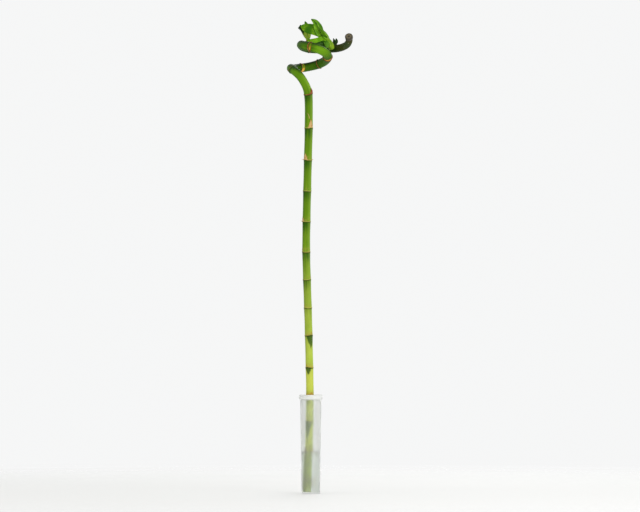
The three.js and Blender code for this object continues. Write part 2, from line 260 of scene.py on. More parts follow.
# %% Colours
def tint(red, green, blue):
    """A colour as it looks on the screen, turned into the linear one that shaders use."""
    shares = [value / 255 for value in (red, green, blue)]
    linear = [s / 12.92 if s < 0.04045 else ((s + 0.055) / 1.055) ** 2.4 for s in shares]
    return (*linear, 1)


print(f"a screen's middle grey sends back {tint(128, 128, 128)[0]:.0%} of the light")

# %% [markdown]
# The floor is the first thing to get a finish. It is a pale disc that fades out into the sky, so
# there is no horizon line from any side, and it has no texture, because a studio floor is plain.
# It fades by its Alpha, which falls with the distance to the middle.

# %% Floor
FLOOR_RADIUS = 1.6
FLOOR_SIDES = 96
FADE_FROM, FADE_TO = 0.35, 1.5

floor_finish = Finish("floor", Roughness=0.7, Base_Color=tint(222, 222, 220))
from_middle = floor_finish.length(floor_finish.node("TexCoord", {}, out="Object"))
floor_finish.paint(Alpha=from_middle.rise(FADE_TO, FADE_FROM))
disc = bmesh.new()
bmesh.ops.create_circle(disc, cap_ends=True, segments=FLOOR_SIDES, radius=FLOOR_RADIUS)
floor_mesh = bpy.data.meshes.new("floor")
disc.to_mesh(floor_mesh)
disc.free()
floor_mesh.materials.append(floor_finish.material)
floor = bpy.data.objects.new("floor", floor_mesh)
scene.collection.objects.link(floor)
print("floor disc with a radius of", FLOOR_RADIUS, "m")

# %% [markdown]
# The cane, its roots, its papery rings and its leaves are all long shapes. Each is shaped
# straight, where a profile can be spun or a sheet can be cut, and is then bent along its middle
# line. The line is a smooth curve through a few chosen points, of the kind that makes no loops
# where points stand close together.

# %% Smooth lines
STEPS_BETWEEN = 60  # places worked out between two given points
ARCH = [(0, 0, 0), (3, 0, 4), (6, 0, 0)]  # a line to try the helpers on


def smooth_line(points, count):
    """Evenly spaced points on the centripetal curve through the given ones, and its length."""
    points = np.array(points, float)
    first, last = 2 * points[0] - points[1], 2 * points[-1] - points[-2]
    padded = np.vstack([first, points, last])
    t = np.linspace(0, 1, STEPS_BETWEEN, endpoint=False)[:, None]
    runs = []
    for before, here, there, after in zip(padded, padded[1:], padded[2:], padded[3:]):
        pairs = ((before, here), (here, there), (there, after))
        a, b, c = (math.sqrt(np.linalg.norm(q - p)) for p, q in pairs)
        leave = b * ((here - before) / a - (there - before) / (a + b) + (there - here) / b)
        reach = b * ((there - here) / b - (after - here) / (b + c) + (after - there) / c)
        runs.append(
            (2 * t**3 - 3 * t**2 + 1) * here + (t**3 - 2 * t**2 + t) * leave
            + (3 * t**2 - 2 * t**3) * there + (t**3 - t**2) * reach
        )
    dense = np.vstack([*runs, points[-1:]])
    steps = np.linalg.norm(np.diff(dense, axis=0), axis=1)
    walked = np.concatenate([[0], np.cumsum(steps)])
    even = np.linspace(0, walked[-1], count + 1)
    line = np.column_stack([np.interp(even, walked, dense[:, axis]) for axis in range(3)])
    return line, walked[-1]


print(f"an arch through three points is {smooth_line(ARCH, 10)[1]:.1f} mm long")

# %% [markdown]
# To carry a shape along such a line, each place of it needs a direction ahead, one to the side
# and one to the back. The side is handed on from place to place and only turned as far as the
# line turns, so nothing twists on its way.

# %% Spines
def unit(vectors):
    return vectors / np.linalg.norm(vectors, axis=-1, keepdims=True)


class Spine:
    """A middle line in millimetres, which carries a straight shape along itself."""

    def __init__(self, points, side=(1, 0, 0), count=60):
        self.line, self.length = smooth_line(points, count)
        self.ahead = unit(np.gradient(self.line, axis=0))
        sides = [np.array(side, float)]
        for ahead in self.ahead:
            sides.append(unit(sides[-1] - ahead * np.dot(sides[-1], ahead)))
        self.sides = np.array(sides[1:])
        self.backs = np.cross(self.ahead, self.sides)
        self.at = np.linspace(0, self.length, count + 1)

    def track(self, values, along):
        return np.column_stack([np.interp(along, self.at, values[:, axis]) for axis in range(3)])

    def carry(self, straight):
        """Where points of a straight shape end up: x and y across the line, z along it."""
        x, y, along = straight.T[:, :, None]
        inside = np.clip(along, 0, self.length)
        flat = inside[:, 0]
        return (
            self.track(self.line, flat) + x * self.track(self.sides, flat)
            + y * self.track(self.backs, flat) + (along - inside) * self.track(self.ahead, flat)
        )

    def length_to(self, point):
        return self.at[np.linalg.norm(self.line - np.array(point), axis=1).argmin()]


print("5 mm along that arch is", Spine(ARCH).carry(np.array([[0, 0, 5.0]]))[0].round(1))

# %% [markdown]
# Round shapes are spun from a half profile, and the spin closes on itself. Where the profile
# meets the axis its copies fall together, so doubles are merged first, and the normals are turned
# outwards after that. Bending keeps each point's straight place as an attribute called grown,
# which the finishes read, so that their grain runs along the cane and round its bends.

# %% Straight shapes and bending
MERGED_WITHIN = 1e-4


def places(bm):
    return np.array([vert.co for vert in bm.verts], float).reshape(-1, 3)


def turn_of(rows):
    return np.arctan2(rows[:, 1], rows[:, 0])


def put(bm, rows):
    for vert, row in zip(bm.verts, rows):
        vert.co = row


def note(bm, name, rows):
    """Keeps three numbers a point, for a finish to read."""
    layer = bm.verts.layers.float_vector.new(name)
    for vert, row in zip(bm.verts, rows):
        vert[layer] = row


def turned(profile, steps):
    """Spins a profile of (radius, height) round the Z axis."""
    bm = bmesh.new()
    verts = [bm.verts.new((radius, 0, height)) for radius, height in profile]
    edges = [bm.edges.new(pair) for pair in zip(verts, verts[1:])]
    bmesh.ops.spin(
        bm, geom=verts + edges, axis=(0, 0, 1), cent=(0, 0, 0), angle=math.tau,
        steps=steps, use_merge=True,
    )
    bmesh.ops.remove_doubles(bm, verts=bm.verts, dist=MERGED_WITHIN)
    bmesh.ops.recalc_face_normals(bm, faces=bm.faces)
    return bm


def bend(bm, spine):
    straight = places(bm)
    note(bm, "grown", straight)
    put(bm, spine.carry(straight))


spindle = turned([(0, 0), (1, 1), (0, 2)], 8)
print("a spindle spun in 8 steps has", len(spindle.faces), "faces")
spindle.free()

# %% [markdown]
# The cane's middle line is the same as in the packed solid. From a foot at the back of the tube
# it goes nearly straight up, and leans forwards a little. The heights of its nodes are measured,
# because their uneven steps are what makes a cane look grown, and at each node the line may sway
# to the left or to the right.

# %% The straight part
STRAIGHT_NODES = [  # height, place to the right
    (19, -3.4), (58.7, -2.6), (98.5, -1.8), (135, -1.2), (172.8, -1.8), (216.7, -2.8),
    (254.5, -3.9), (293, -5.2), (330.8, -6.2), (372.6, -5.8), (414.7, -4.9), (457, -3.9),
    (500.9, -2.8), (546.8, -3.5),
]
TUBE_FLOOR = 2
FOOT = (TUBE_FLOOR + 0.45, -3.8)
FOOT_BACK, TOP_BACK = 3.2, -11


def straight_point(height, sway):
    share = (height - FOOT[0]) / (STRAIGHT_NODES[-1][0] - FOOT[0])
    return (sway, FOOT_BACK + (TOP_BACK - FOOT_BACK) * share, height)


node_places = [straight_point(*node) for node in STRAIGHT_NODES]
print(len(node_places), "nodes on the straight part")

# %% [markdown]
# Over a first bend the cane runs into its coil. One radius would look turned on a lathe, so each
# half turn has its own and starts at the outermost point of the one before. The coil climbs as it
# turns, and its back hangs a little lower than its front. Chosen points lead over the first bend
# and out to the free end.

# %% The coil and the free end
FIRST_BEND = [
    (-5.8, -12.4, 555.8), (-9.7, -14, 563.6), (-14.8, -15.1, 571.1), (-20.8, -11.5, 577.1),
]
COIL_START = (-26.9, 1.2, 582.2)
HALF_TURN_RADII = (25, 18, 25)
COIL_TURNS = 1.34
COIL_CLIMB = 32
COIL_TILT = 0.2
POINTS_PER_TURN = 12
COIL_NODE_TURNS = (-0.045, 0.16, 0.34, 0.5, 0.8, 1.157, 1.33)
FREE_END = [
    (36.6, 14.7, 610), (44, 10, 611.8), (50, 4.9, 615.2), (52.7, 0.6, 620.6), (52.2, -5.8, 625.2),
]
CANE_STEPS = 1600


def coil_point(turn):
    """A point of the coil; each half turn starts at the outermost point of the one before."""
    half = min(max(math.floor(turn * 2), 0), len(HALF_TURN_RADII) - 1)
    edge = COIL_START[0]
    for done in range(half):
        edge += 2 * HALF_TURN_RADII[done] * (1 if done % 2 == 0 else -1)
    radius = HALF_TURN_RADII[half]
    centre = edge + (radius if half % 2 == 0 else -radius)
    angle = math.pi * (1 - 2 * turn)
    back = radius * math.sin(angle)
    height = COIL_START[2] + COIL_CLIMB * min(turn, 1) - COIL_TILT * back
    return (centre + radius * math.cos(angle), COIL_START[1] + back, height)


coil_steps = range(int(COIL_TURNS * POINTS_PER_TURN) + 1)
coil = [coil_point(step / POINTS_PER_TURN) for step in coil_steps]
CANE = Spine([straight_point(*FOOT), *node_places, *FIRST_BEND, *coil, *FREE_END], count=CANE_STEPS)
node_places += [coil_point(turn) for turn in COIL_NODE_TURNS]
NODE_AT = np.array([CANE.length_to(place) for place in node_places])
print(f"cane {CANE.length:.0f} mm long with {len(NODE_AT)} nodes")

# %% [markdown]
# A node is where a leaf once wrapped the cane, and no two are alike. Each one below says where
# its sleeping bud looks, in degrees from the right, with 270 at the front, and how rusty its ring
# is, from pale straw at 0 to orange brown at 1. Three rings of the coil lean as well, as their
# leaves left them.

# %% How each node looks
NODE_LOOKS = [  # the bud's facing, rust
    (90, 0.3), (200, 0.3), (225, 0.25), (290, 0.7), (232, 0.5), (312, 0.55), (215, 0.35),
    (330, 0.1), (200, 0.5), (185, 0.3), (20, 0.05), (222, 0.3), (312, 0.2), (330, 0.95),
    (60, 0.9), (250, 1), (250, 0.95), (180, 1), (20, 1), (140, 0.6), (10, 0.6),
]
LEANS = {14: (2, 100), 15: (2.3, 330), 18: (1.6, 165)}  # node: how far, and towards where

BUD_TURN = np.radians([turn for turn, rust in NODE_LOOKS])
RUST = np.array([rust for turn, rust in NODE_LOOKS])
LEAN = np.zeros((len(NODE_LOOKS), 2))
for node, (reach, turn) in LEANS.items():
    LEAN[node] = reach, math.radians(turn)
print(f"{len(NODE_LOOKS)} nodes, of which {len(LEANS)} lean")

# %% [markdown]
# Between its rings the cane is round, thicker in the coil than on the straight part and thinnest
# at its cut end, with a slight waist between two nodes. Its girth is given at a few shares of
# its length, and the waist takes away from that with the distance to the nearest node.

# %% The cane's girth
GIRTH = [  # share of the cane's length, radius
    (0, 5.4), (0.16, 5.4), (0.62, 5.8), (0.72, 6.15), (0.8, 6.4), (0.87, 6.6),
    (0.93, 6.1), (0.97, 5.3), (1, 4.8),
]
FINENESS = 0.982  # the solid's flat sides stand out at their corners, so the cane is a hair finer
WAIST, WAIST_REACH = 0.2, 15


def cane_radius(along):
    """Radius of the plain cane between its rings."""
    shares, radii = zip(*GIRTH)
    gap = np.abs(np.subtract.outer(along, NODE_AT)).min(axis=-1)
    girth = np.interp(along / CANE.length, shares, radii)
    return FINENESS * girth - WAIST * np.minimum(1, gap / WAIST_REACH)


print(f"half way up the cane is {2 * cane_radius(CANE.length / 2):.1f} mm thick")

# %% [markdown]
# What the leaf left at a node is a sharp ring, a little wider than the cane, which rises to a low
# peak over its bud. Just above it the cane has a slight neck. All this is made by moving the
# points of a plain spun rod: in and out for the ring, the neck and the bud, and along for the
# peak. Bell curves give these forms their soft shoulders.

# %% Rings, necks and sleeping buds
SWELLING, SWELLING_REACH = 0.22, 2.1
LIP, LIP_REACH = 0.24, 0.42
NECK, NECK_PLACE, NECK_REACH = 0.16, 1.3, 0.7
BUD_HEIGHT, BUD_PLACE, BUD_LENGTH, BUD_WIDTH = 0.5, 2.6, 1.7, 1.3
BUD_RADIUS = 5.5  # how far from the axis a bud's width is measured
DIP, DIP_REACH = 1.1, 6
PEAK_SPREAD, PEAK_MEAN, PEAK_WAVE = 0.6, 0.35, 0.25


def bell(distance, reach):
    return np.exp(-((distance / reach) ** 2))


def arc_from(turn, facing):
    """How far round the cane a place is from the one that faces a direction, in radians."""
    return np.abs((turn - facing + math.pi) % math.tau - math.pi)


def ring_relief(gap):
    """How far the skin stands out at a place that is gap above a node."""
    ring = SWELLING * bell(gap, SWELLING_REACH) + LIP * bell(gap, LIP_REACH)
    return ring - NECK * bell(gap - NECK_PLACE, NECK_REACH)


def bud_relief(turn, gap, node):
    across = arc_from(turn, BUD_TURN[node]) * BUD_RADIUS
    return BUD_HEIGHT * bell(gap - BUD_PLACE, BUD_LENGTH) * bell(across, BUD_WIDTH)


def ring_dip(turn, node):
    """How far a ring is over its mean height: up to a peak over the bud, and with a lean."""
    bud_turn, lean = BUD_TURN[node], LEAN[node]
    peak = bell(arc_from(turn, bud_turn), PEAK_SPREAD)
    dip = DIP * (peak - PEAK_MEAN - PEAK_WAVE * np.cos(turn - bud_turn))
    return dip + lean[..., 0] * np.cos(turn - lean[..., 1])


print(f"a ring stands out {ring_relief(0):.2f} mm from the cane")

# %% [markdown]
# The spun rod needs points where its relief is: many at each ring, fewer in between, and in the
# coil more than on the straight part, because that is where it bends.

# %% Stations along the cane
RING_REACH, RING_STEP = 2.4, 0.3
RING_SHOULDERS = (-4.5, -3.3, 3.3, 4.5)
RING_ROOM = 5
STRAIGHT_STEP, COIL_STEP = 2.6, 1.5
END_ROUNDING = 0.5


def cane_heights():
    """Stations along the cane: close at the rings, closer in the coil than on the straight."""
    close = np.arange(-RING_REACH, RING_REACH + 0.01, RING_STEP)
    rings = np.add.outer(NODE_AT, np.concatenate([close, RING_SHOULDERS])).ravel()
    coil_from = NODE_AT[len(STRAIGHT_NODES) - 1]
    straight = np.arange(1, coil_from, STRAIGHT_STEP)
    plain = np.concatenate([straight, np.arange(coil_from, CANE.length, COIL_STEP)])
    free = [at for at in plain if np.abs(NODE_AT - at).min() > RING_ROOM]
    heights = np.concatenate([[0, END_ROUNDING], rings, free, [CANE.length]])
    return np.unique(np.clip(heights, 0, CANE.length).round(2))


heights = cane_heights()
print(len(heights), "stations along the cane")

# %% [markdown]
# Some marks belong to one node alone: a dark wedge that hangs from it, or a scar over it. A scar
# is a triangle or, in the coil, a lens beside the ring. Two bends also have a grey bloom. For
# each point of the cane it is worked out how far inside such a shape it lies, which is a number
# over 0 inside and under 0 outside, so that a finish can fray the edge later.

# %% Wedges, scars and bloom
WEDGES = {  # node: height, width, facing
    1: (5, 12, 200), 2: (30, 15, 240), 3: (6, 5, 60), 4: (13, 13, 250), 5: (22, 17, 304),
}
SCARS = {9: (5.5, 7, 206), 11: (9.5, 9, 226), 12: (12.5, 9, 304)}
LENSES = {  # node: shift, reach, facing, spread
    15: (3, 2.6, 47, 85), 17: (1.5, 1, 105, 75), 18: (-1.7, 1.3, 165, 70),
}
LENS_SOFTNESS = 5
BLOOM = [((-17, 4, 619), 15), ((50, 4, 616), 12)]  # middle, reach
FAR_OUTSIDE = -1.0
BEFORE_NODE = -0.03


def wedge(straight, turn, at, height, width, facing):
    """Over 0 inside a triangle that stands on a node, or hangs from it where height is below 0."""
    share = (straight[:, 2] - at) / height
    across = arc_from(turn, math.radians(facing)) * np.hypot(straight[:, 0], straight[:, 1])
    inside = 1 - share - across / (width / 2)
    return np.where(share > BEFORE_NODE, np.maximum(inside, FAR_OUTSIDE), FAR_OUTSIDE)


def cane_marks(straight, turn, bent):
    dark, scar, bloom = (np.full(len(straight), FAR_OUTSIDE) for _ in range(3))
    for node, (height, width, facing) in WEDGES.items():
        dark = np.maximum(dark, wedge(straight, turn, NODE_AT[node], -height, width, facing))
    for node, (height, width, facing) in SCARS.items():
        scar = np.maximum(scar, wedge(straight, turn, NODE_AT[node], height, width, facing))
    for node, (shift, reach, facing, spread) in LENSES.items():
        off = arc_from(turn, math.radians(facing)) / math.radians(spread)
        inside = reach * (1 - off**2) - np.abs(straight[:, 2] - NODE_AT[node] - shift)
        scar = np.maximum(scar, inside / LENS_SOFTNESS)
    for centre, reach in BLOOM:
        away = np.linalg.norm(bent - np.array(centre), axis=1)
        bloom = np.maximum(bloom, 1 - away / reach)
    return np.column_stack([dark, scar, bloom])


print(len(WEDGES), "wedges,", len(SCARS) + len(LENSES), "scars and", len(BLOOM), "blooms")

# %% [markdown]
# Now the cane is spun, shaped and bent. Three attributes go with it. near holds the distances to
# the node below and to the one above, and the share of the cane's length. marks holds the wedges,
# the scars and the bloom. rings holds how rusty the nearest ring is, how far the skin faces up,
# and the buds.

# %% The cane's shape
CANE_SIDES = 30
PLAIN_RADIUS = 5  # of the rod, before it is shaped
BEYOND_ENDS = 40  # how far away a node counts that isn't there
UNDIPPED_ENDS = 4
ON_AXIS_WITHIN = 1


def node_distances(along):
    lower = np.searchsorted(NODE_AT, along)
    fenced = np.concatenate([[-BEYOND_ENDS], NODE_AT, [CANE.length + BEYOND_ENDS]])
    return along - fenced[lower], fenced[lower + 1] - along


def facing_up(along, turn):
    """From 1 where the skin looks up to -1 where it looks down."""
    up = CANE.track(CANE.sides, along)[:, 2] * np.cos(turn)
    return up + CANE.track(CANE.backs, along)[:, 2] * np.sin(turn)


def shaped_cane():
    rod_profile = [(PLAIN_RADIUS, height) for height in heights]
    bm = turned([(0, 0), *rod_profile, (0, CANE.length)], CANE_SIDES)
    straight = places(bm)
    turn, along = turn_of(straight), straight[:, 2]
    nearest = np.abs(np.subtract.outer(along, NODE_AT)).argmin(axis=1)
    gap, to_end = along - NODE_AT[nearest], np.minimum(along, CANE.length - along)
    bud = bud_relief(turn, gap, nearest)
    radius = cane_radius(along) + bud + ring_relief(gap) - np.maximum(0, END_ROUNDING - to_end)
    radius[np.hypot(straight[:, 0], straight[:, 1]) < ON_AXIS_WITHIN] = 0
    shaped = np.column_stack([radius * np.cos(turn), radius * np.sin(turn), along])
    dip = ring_dip(turn, nearest) * bell(gap, DIP_REACH) * (to_end > UNDIPPED_ENDS)
    bent = CANE.carry(shaped + np.outer(dip, (0, 0, 1)))
    note(bm, "grown", shaped)
    note(bm, "near", np.column_stack([*node_distances(along), along / CANE.length]))
    note(bm, "marks", cane_marks(shaped, turn, bent))
    note(bm, "rings", np.column_stack([RUST[nearest], facing_up(along, turn), bud]))
    put(bm, bent)
    return bm


cane = shaped_cane()
print(len(cane.verts), "points on the cane")

# %% [markdown]
# The cane's finish has the most layers, so it is built in several cells. Here are the things that
# they share: what the attributes say, and five noises. Streaks and fibres run along the cane, so
# they are stretched that way. Clouds are wider than the cane, mottles are small, and freckles are
# single dots. Places along the cane are shares of its length.

# %% What the cane's finish reads
GREEN_SHINE = (0.5, 0.7, 0.3, 1)  # living skin mirrors the white room only faintly
ALONG_CANE = (1, 1, 0.05)
CURL_FROM = (0.665, 0.7)

skin = Finish("cane skin", Specular_IOR_Level=0.16, Specular_Tint=GREEN_SHINE)
grown = skin.read("grown")
above, below, height = skin.parts(skin.read("near"))
dark, scar, bloom = skin.parts(skin.read("marks"))
rust, up, bud = skin.parts(skin.read("rings"))
lengthwise = skin.stretched(grown, ALONG_CANE)
streak, fibre = skin.grain(lengthwise, 0.4), skin.grain(lengthwise, 2.6)
cloud, mottle = skin.grain(grown, 0.07), skin.grain(grown, 0.5, detail=4)
freckle = skin.dots(skin.stretched(grown, (1, 1, 0.4)), 0.33)
curled = height.rise(*CURL_FROM)
print(len(skin.tree.nodes), "nodes for what the finish reads")

# %% [markdown]
# The ground goes from yellow green in the water, where the skin gets least light, to a deep
# green in the coil, darkened further there as painted shade of its upper turns. The coil's front
# and the first bend are painted lighter, as painted light. Three rises and two stretches along the
# cane say all of that, and a cloud frays two of them.

# %% The cane's green
WATER_GREEN, CANE_GREEN, HEAD_GREEN = tint(190, 200, 84), tint(82, 116, 10), tint(72, 110, 8)
COIL_GREEN_AND_SHADE, LIT_FRONT_GREEN = tint(42, 78, 2), tint(98, 142, 16)
YOUNGER, HEAD, COIL = (0.05, 0.46), (0.45, 0.72), (0.705, 0.72)
COIL_FRONT = (0.812, 0.838, 0.85, 0.87)
BEND_STRETCH = (0.655, 0.67, 0.695, 0.712)

# painted light: the coil's front and the first bend are lighter than the rest of the coil
brighter = height.stretch(*COIL_FRONT).higher(height.stretch(*BEND_STRETCH) * 0.4)
colour = skin.layered(
    WATER_GREEN,
    (height.frayed(cloud, 0.12).rise(*YOUNGER), CANE_GREEN),
    (height.frayed(cloud, 0.1).rise(*HEAD), HEAD_GREEN),
    # the coil's deep green, partly its own colour and partly painted shade of its upper turns
    (height.rise(*COIL) * 0.75, COIL_GREEN_AND_SHADE),
    (brighter * 0.9, LIT_FRONT_GREEN),
)
print(len(skin.tree.nodes), "nodes with the ground")

# %% [markdown]
# Shades show where the joints are. Under each ring lies a dark collar, darkest on the upper
# half of the straight part, and in the coil both sides of a ring are dark. Streaks darken and
# lighten the skin in turn. The right side of the straight part is painted lighter, as painted
# light, and in the coil the upper side is painted a very dark green, as painted shade, darkest at
# the rear under the upper turns.

# %% Shades and lights of the cane
# the sunny green is painted light on the right side of the straight part
SHADE_GREEN, PAINTED_LIGHT_GREEN, LIGHT_GREEN = tint(30, 70, 2), tint(172, 202, 82), tint(118, 152, 26)
# the upper and rear greens are painted shade on the coil
FIBRE_GREEN, TOP_SHADE_GREEN, REAR_SHADE_GREEN = tint(46, 88, 8), tint(24, 50, 4), tint(12, 30, 0)
DARKER_COLLARS = (0.26, 0.42)
COIL_REAR = (0.72, 0.735, 0.8, 0.815)

collar = (height.rise(*DARKER_COLLARS) * 0.36 + 0.2) * (1 - 0.8 * curled)
calm = 1 - 0.5 * curled
shade = below.rise(23, 0) * collar + (streak - 0.46) * 0.9 * calm
shade = shade.frayed(cloud, (curled - brighter * 0.7) * 1.6)
shade = shade + (below.rise(12, 1) + above.rise(8, 0)) * curled * 0.45
to_the_right, _, _ = skin.parts(grown)
light = (0.5 - streak) * 0.9 * calm + below.rise(18, 36) * 0.2 * (1 - curled)
colour = skin.layered(
    colour,
    (shade.rise(0, 0.75), SHADE_GREEN),
    # painted light: the right side of the straight part is lighter
    (to_the_right.rise(0.5, 6) * 0.24 * (1 - curled), PAINTED_LIGHT_GREEN),
    (light.rise(0, 0.6) * 0.6, LIGHT_GREEN),
    (fibre.rise(0.55, 0.75) * 0.16, FIBRE_GREEN),
    # painted shade where the coil's skin faces up
    (up.frayed(mottle, 0.5).rise(0.25, 0.85) * 0.85, TOP_SHADE_GREEN),
    # painted shade on the upper side of the coil's rear, under the upper turns
    (height.stretch(*COIL_REAR) * up.rise(0.1, 0.75) * 0.45, REAR_SHADE_GREEN),
)
print(len(skin.tree.nodes), "nodes with the shades")

# %% [markdown]
# Where the cane leaves the tube its skin has yellowed, with a brown stain over the ring there.
# Along the straight part the skin just above a ring has turned tan in places, above a rusty ring
# more than above a pale one. The mottle decides where, so that no two rings are alike.

# %% Stains of the cane
MOUTH_YELLOW, MOUTH_BROWN, TAN = tint(180, 182, 72), tint(178, 124, 40), tint(150, 132, 62)
TUBE_MOUTH = (0.152, 0.158, 0.19, 0.215)
UNTANNED_FROM = (0.64, 0.6)

at_mouth = height.stretch(*TUBE_MOUTH)
stain = at_mouth * (above * -0.1 + mottle + 0.2).rise(0.3, 0.6)
tanned = above.rise(9, 0) * (mottle + rust * 0.3).rise(0.5, 0.75) * height.rise(*UNTANNED_FROM)
colour = skin.layered(
    colour,
    (at_mouth * 0.45, MOUTH_YELLOW),
    (stain * 0.6, MOUTH_BROWN),
    (tanned * 0.6, TAN),
)
print(len(skin.tree.nodes), "nodes with the stains")

# %% [markdown]
# A scar is where a leaf was pulled off: straw with brown fibres on the straight part, and in the
# coil green above and bleached below. Round it runs a brown rim, which is faint where the later
# part of the coil faces up. The wedges are only a darker green, paler in the tube than above it.

# %% Wedges and scars
TUBE_WEDGE, CANE_WEDGE, SCAR_RIM = tint(72, 102, 8), tint(28, 66, 16), tint(140, 74, 26)
STRAW, STRAW_FIBRE = tint(190, 166, 112), tint(160, 116, 68)
COIL_SCAR, BLEACHED_SCAR = tint(92, 124, 12), tint(206, 160, 66)
OVER_TUBE, RIM_FADES = (0.12, 0.19), (0.8, 0.82)

wedge_green = skin.blend(height.rise(*OVER_TUBE), TUBE_WEDGE, CANE_WEDGE)
straw = skin.blend(fibre.rise(0.35, 0.65), STRAW, STRAW_FIBRE)
coil_scar = skin.blend(up.frayed(streak, 0.8).rise(0.3, -0.5), COIL_SCAR, BLEACHED_SCAR)
edge = scar.frayed(mottle, 0.4 - 0.34 * curled)
faint = up.rise(-0.2, 0.5) * height.rise(*RIM_FADES) * 0.8
rim = edge.rise(-0.09, -0.03) * (0.5 + 0.5 * curled) * (1 - faint)
colour = skin.layered(
    colour,
    (dark.frayed(mottle, 0.35).rise(0, 0.3) * 0.85, wedge_green),
    (rim, SCAR_RIM),
    (edge.rise(0.04, 0.1), skin.blend(curled, straw, coil_scar)),
)
print(len(skin.tree.nodes), "nodes with the marks")

# %% [markdown]
# The skin of the free end is old: nearly black, and brown at the cut. On two of the bends lies a
# grey bloom, like the bloom on a plum, with small pale chips in it. Freckles are scattered over
# the whole cane.

# %% The free end, bloom and freckles
END_GREEN, END_BROWN, BLOOM_GREY = tint(18, 36, 2), tint(60, 56, 20), tint(46, 66, 42)
FRECKLE_BROWN, CHIP_STRAW = tint(110, 84, 40), tint(184, 176, 146)
OLD_FROM, CUT_FROM = (0.905, 0.94), (0.95, 0.99)

bloomed = bloom.frayed(mottle, 0.8).rise(0.1, 0.8)
chips = skin.dots(grown, 0.24).frayed(mottle, 0.16).rise(0.17, 0.1) * bloomed
colour = skin.layered(
    colour,
    (height.frayed(cloud, 0.04).rise(*OLD_FROM) * 0.9, END_GREEN),
    (height.frayed(mottle, 0.06).rise(*CUT_FROM) * 0.85, END_BROWN),
    (bloomed * 0.75, BLOOM_GREY),
    (freckle.rise(0.15, 0.07) * 0.3, FRECKLE_BROWN),
    (chips * 0.8, CHIP_STRAW),
)
print(len(skin.tree.nodes), "nodes with the free end and the bloom")

# %% [markdown]
# Last come the rings themselves, from straw to rust, with a thin shadow under each, and the tips
# of the buds. Rings and bloom are duller than the skin, and fibres stand out of it as a relief
# that is far finer than the mesh.

# %% Rings and buds
RING_SHADOW, BUD_BROWN = tint(42, 54, 6), tint(150, 88, 34)
RING_STRAW, RING_RUST = tint(176, 166, 92), tint(134, 76, 32)

ring = above.rise(0.75, 0.45).higher(below.rise(0.45, 0.25))
colour = skin.layered(
    colour,
    (below.stretch(0.2, 0.6, 0.9, 2.6) * 0.75, RING_SHADOW),
    (ring * 0.8, skin.blend(rust, RING_STRAW, RING_RUST)),
    (bud.rise(0.2, 0.42) * 0.7, BUD_BROWN),
)
rough = 0.4 + mottle * 0.14 + fibre * 0.1 + bloomed * 0.2 + ring * 0.25
skin.paint(Base_Color=colour, Roughness=rough)
skin.relief(fibre * 0.5 + streak * 0.5 + mottle * 0.2, 0.3, 0.0004)
print(len(skin.tree.nodes), "nodes in the cane's finish")

# %% [markdown]
# A finished piece has its place in its mesh: the object itself stays at the origin, unturned and
# unscaled. It rides on the plant's only body, because nothing here moves by itself. Where it
# stands for a packed solid, it names that solid's node, which is then hidden.

# %% Settle the cane
def settle(name, bm, finish, slot, *nodes):
    """Makes a finished piece of a bmesh in millimetres."""
    bmesh.ops.scale(bm, verts=bm.verts, vec=(MM, MM, MM))
    mesh = bpy.data.meshes.new(name)
    bm.to_mesh(mesh)
    bm.free()
    mesh.shade_smooth()
    mesh.materials.append(finish.material)
    piece = bpy.data.objects.new(name, mesh)
    scene.collection.objects.link(piece)
    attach(piece, "root")
    if nodes:
        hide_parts(*nodes)
    print(f"{name}: {len(mesh.polygons)} faces")
    return piece


settle("cane", cane, skin, "stalk_skin", "stalk")

# %% [markdown]
# The last ring of the straight part and four in the coil still wear the dry foot of their leaf: a
# papery strip, torn along its upper edge. It is a short open tube round the cane, a little wider
# than the ring. Noise pushes its upper edge up and down, and one side may stand up as a lobe.

# %% A torn strip
STRIP_SIDES = 80
STRIP_ROWS = ((0, 0.4), (0.25, 0.9), (0.5, 1), (0.7, 1), (0.8, 0.95), (0.9, 0.9), (1, 0.85))
LOBE_SPREAD = 0.5
COARSE_TEAR, FINE_TEAR, SWAY = 1.3, 3.6, 0.9  # how quickly each noise changes round the strip
LESSER = 0.35  # the share of the fine tear and of the sway


def paper_strip(at, radius, ring, width, tear, lobe, facing, seed):
    """A strip round the Z axis, whose upper edge is torn and may stand up on one side."""
    profile = [(radius + ring * out, at + width * (row - 0.5)) for row, out in STRIP_ROWS]
    bm = turned(profile, STRIP_SIDES)
    straight = places(bm)
    turn = turn_of(straight)
    upper = (straight[:, 2] - at) / width + 0.5
    straight[:, 2] += lobe * bell(arc_from(turn, math.radians(facing)), LOBE_SPREAD) * upper
    for row, angle, share in zip(straight, turn, upper):
        around = Vector((math.cos(angle), math.sin(angle), seed))
        torn = noise.noise(around * COARSE_TEAR) + LESSER * noise.noise(around * FINE_TEAR)
        row[2] += tear * (torn * share + LESSER * noise.noise(around * SWAY))
    put(bm, straight)
    return bm


trial = paper_strip(at=0, radius=6, ring=0.5, width=1, tear=0, lobe=5, facing=270, seed=0)
print(f"a lobe of 5 mm makes a strip {np.ptp(places(trial)[:, 2]):.1f} mm high")
trial.free()

# %% [markdown]
# A strip follows its ring: it sits at the node, dips as the ring does, and is bent with the cane.
# The sheath at the back wears a paler one at its foot, on the sheath's own middle line. Strips of
# one kind are joined, so that they are one piece.

# %% Strips in their places
PAPER_RINGS = [  # node, shift along the cane, width, tear, lobe, the lobe's facing
    (13, 0.2, 1.1, 1.8, 5, 338), (15, 0, 0.7, 0.5, 0, 0), (16, 0, 0.7, 0.4, 0, 0),
    (17, 0, 0.9, 0.6, 1.6, 300), (18, 0, 0.7, 0.5, 0, 0),
]
PAPER_GAP, PAPER_BULGE = 0.12, 0.1
BACK_SHEATH = [(-2.2, 22.5, 612.5), (-3, 25.5, 619), (-4.6, 29.5, 624.5), (-6.8, 32, 629)]


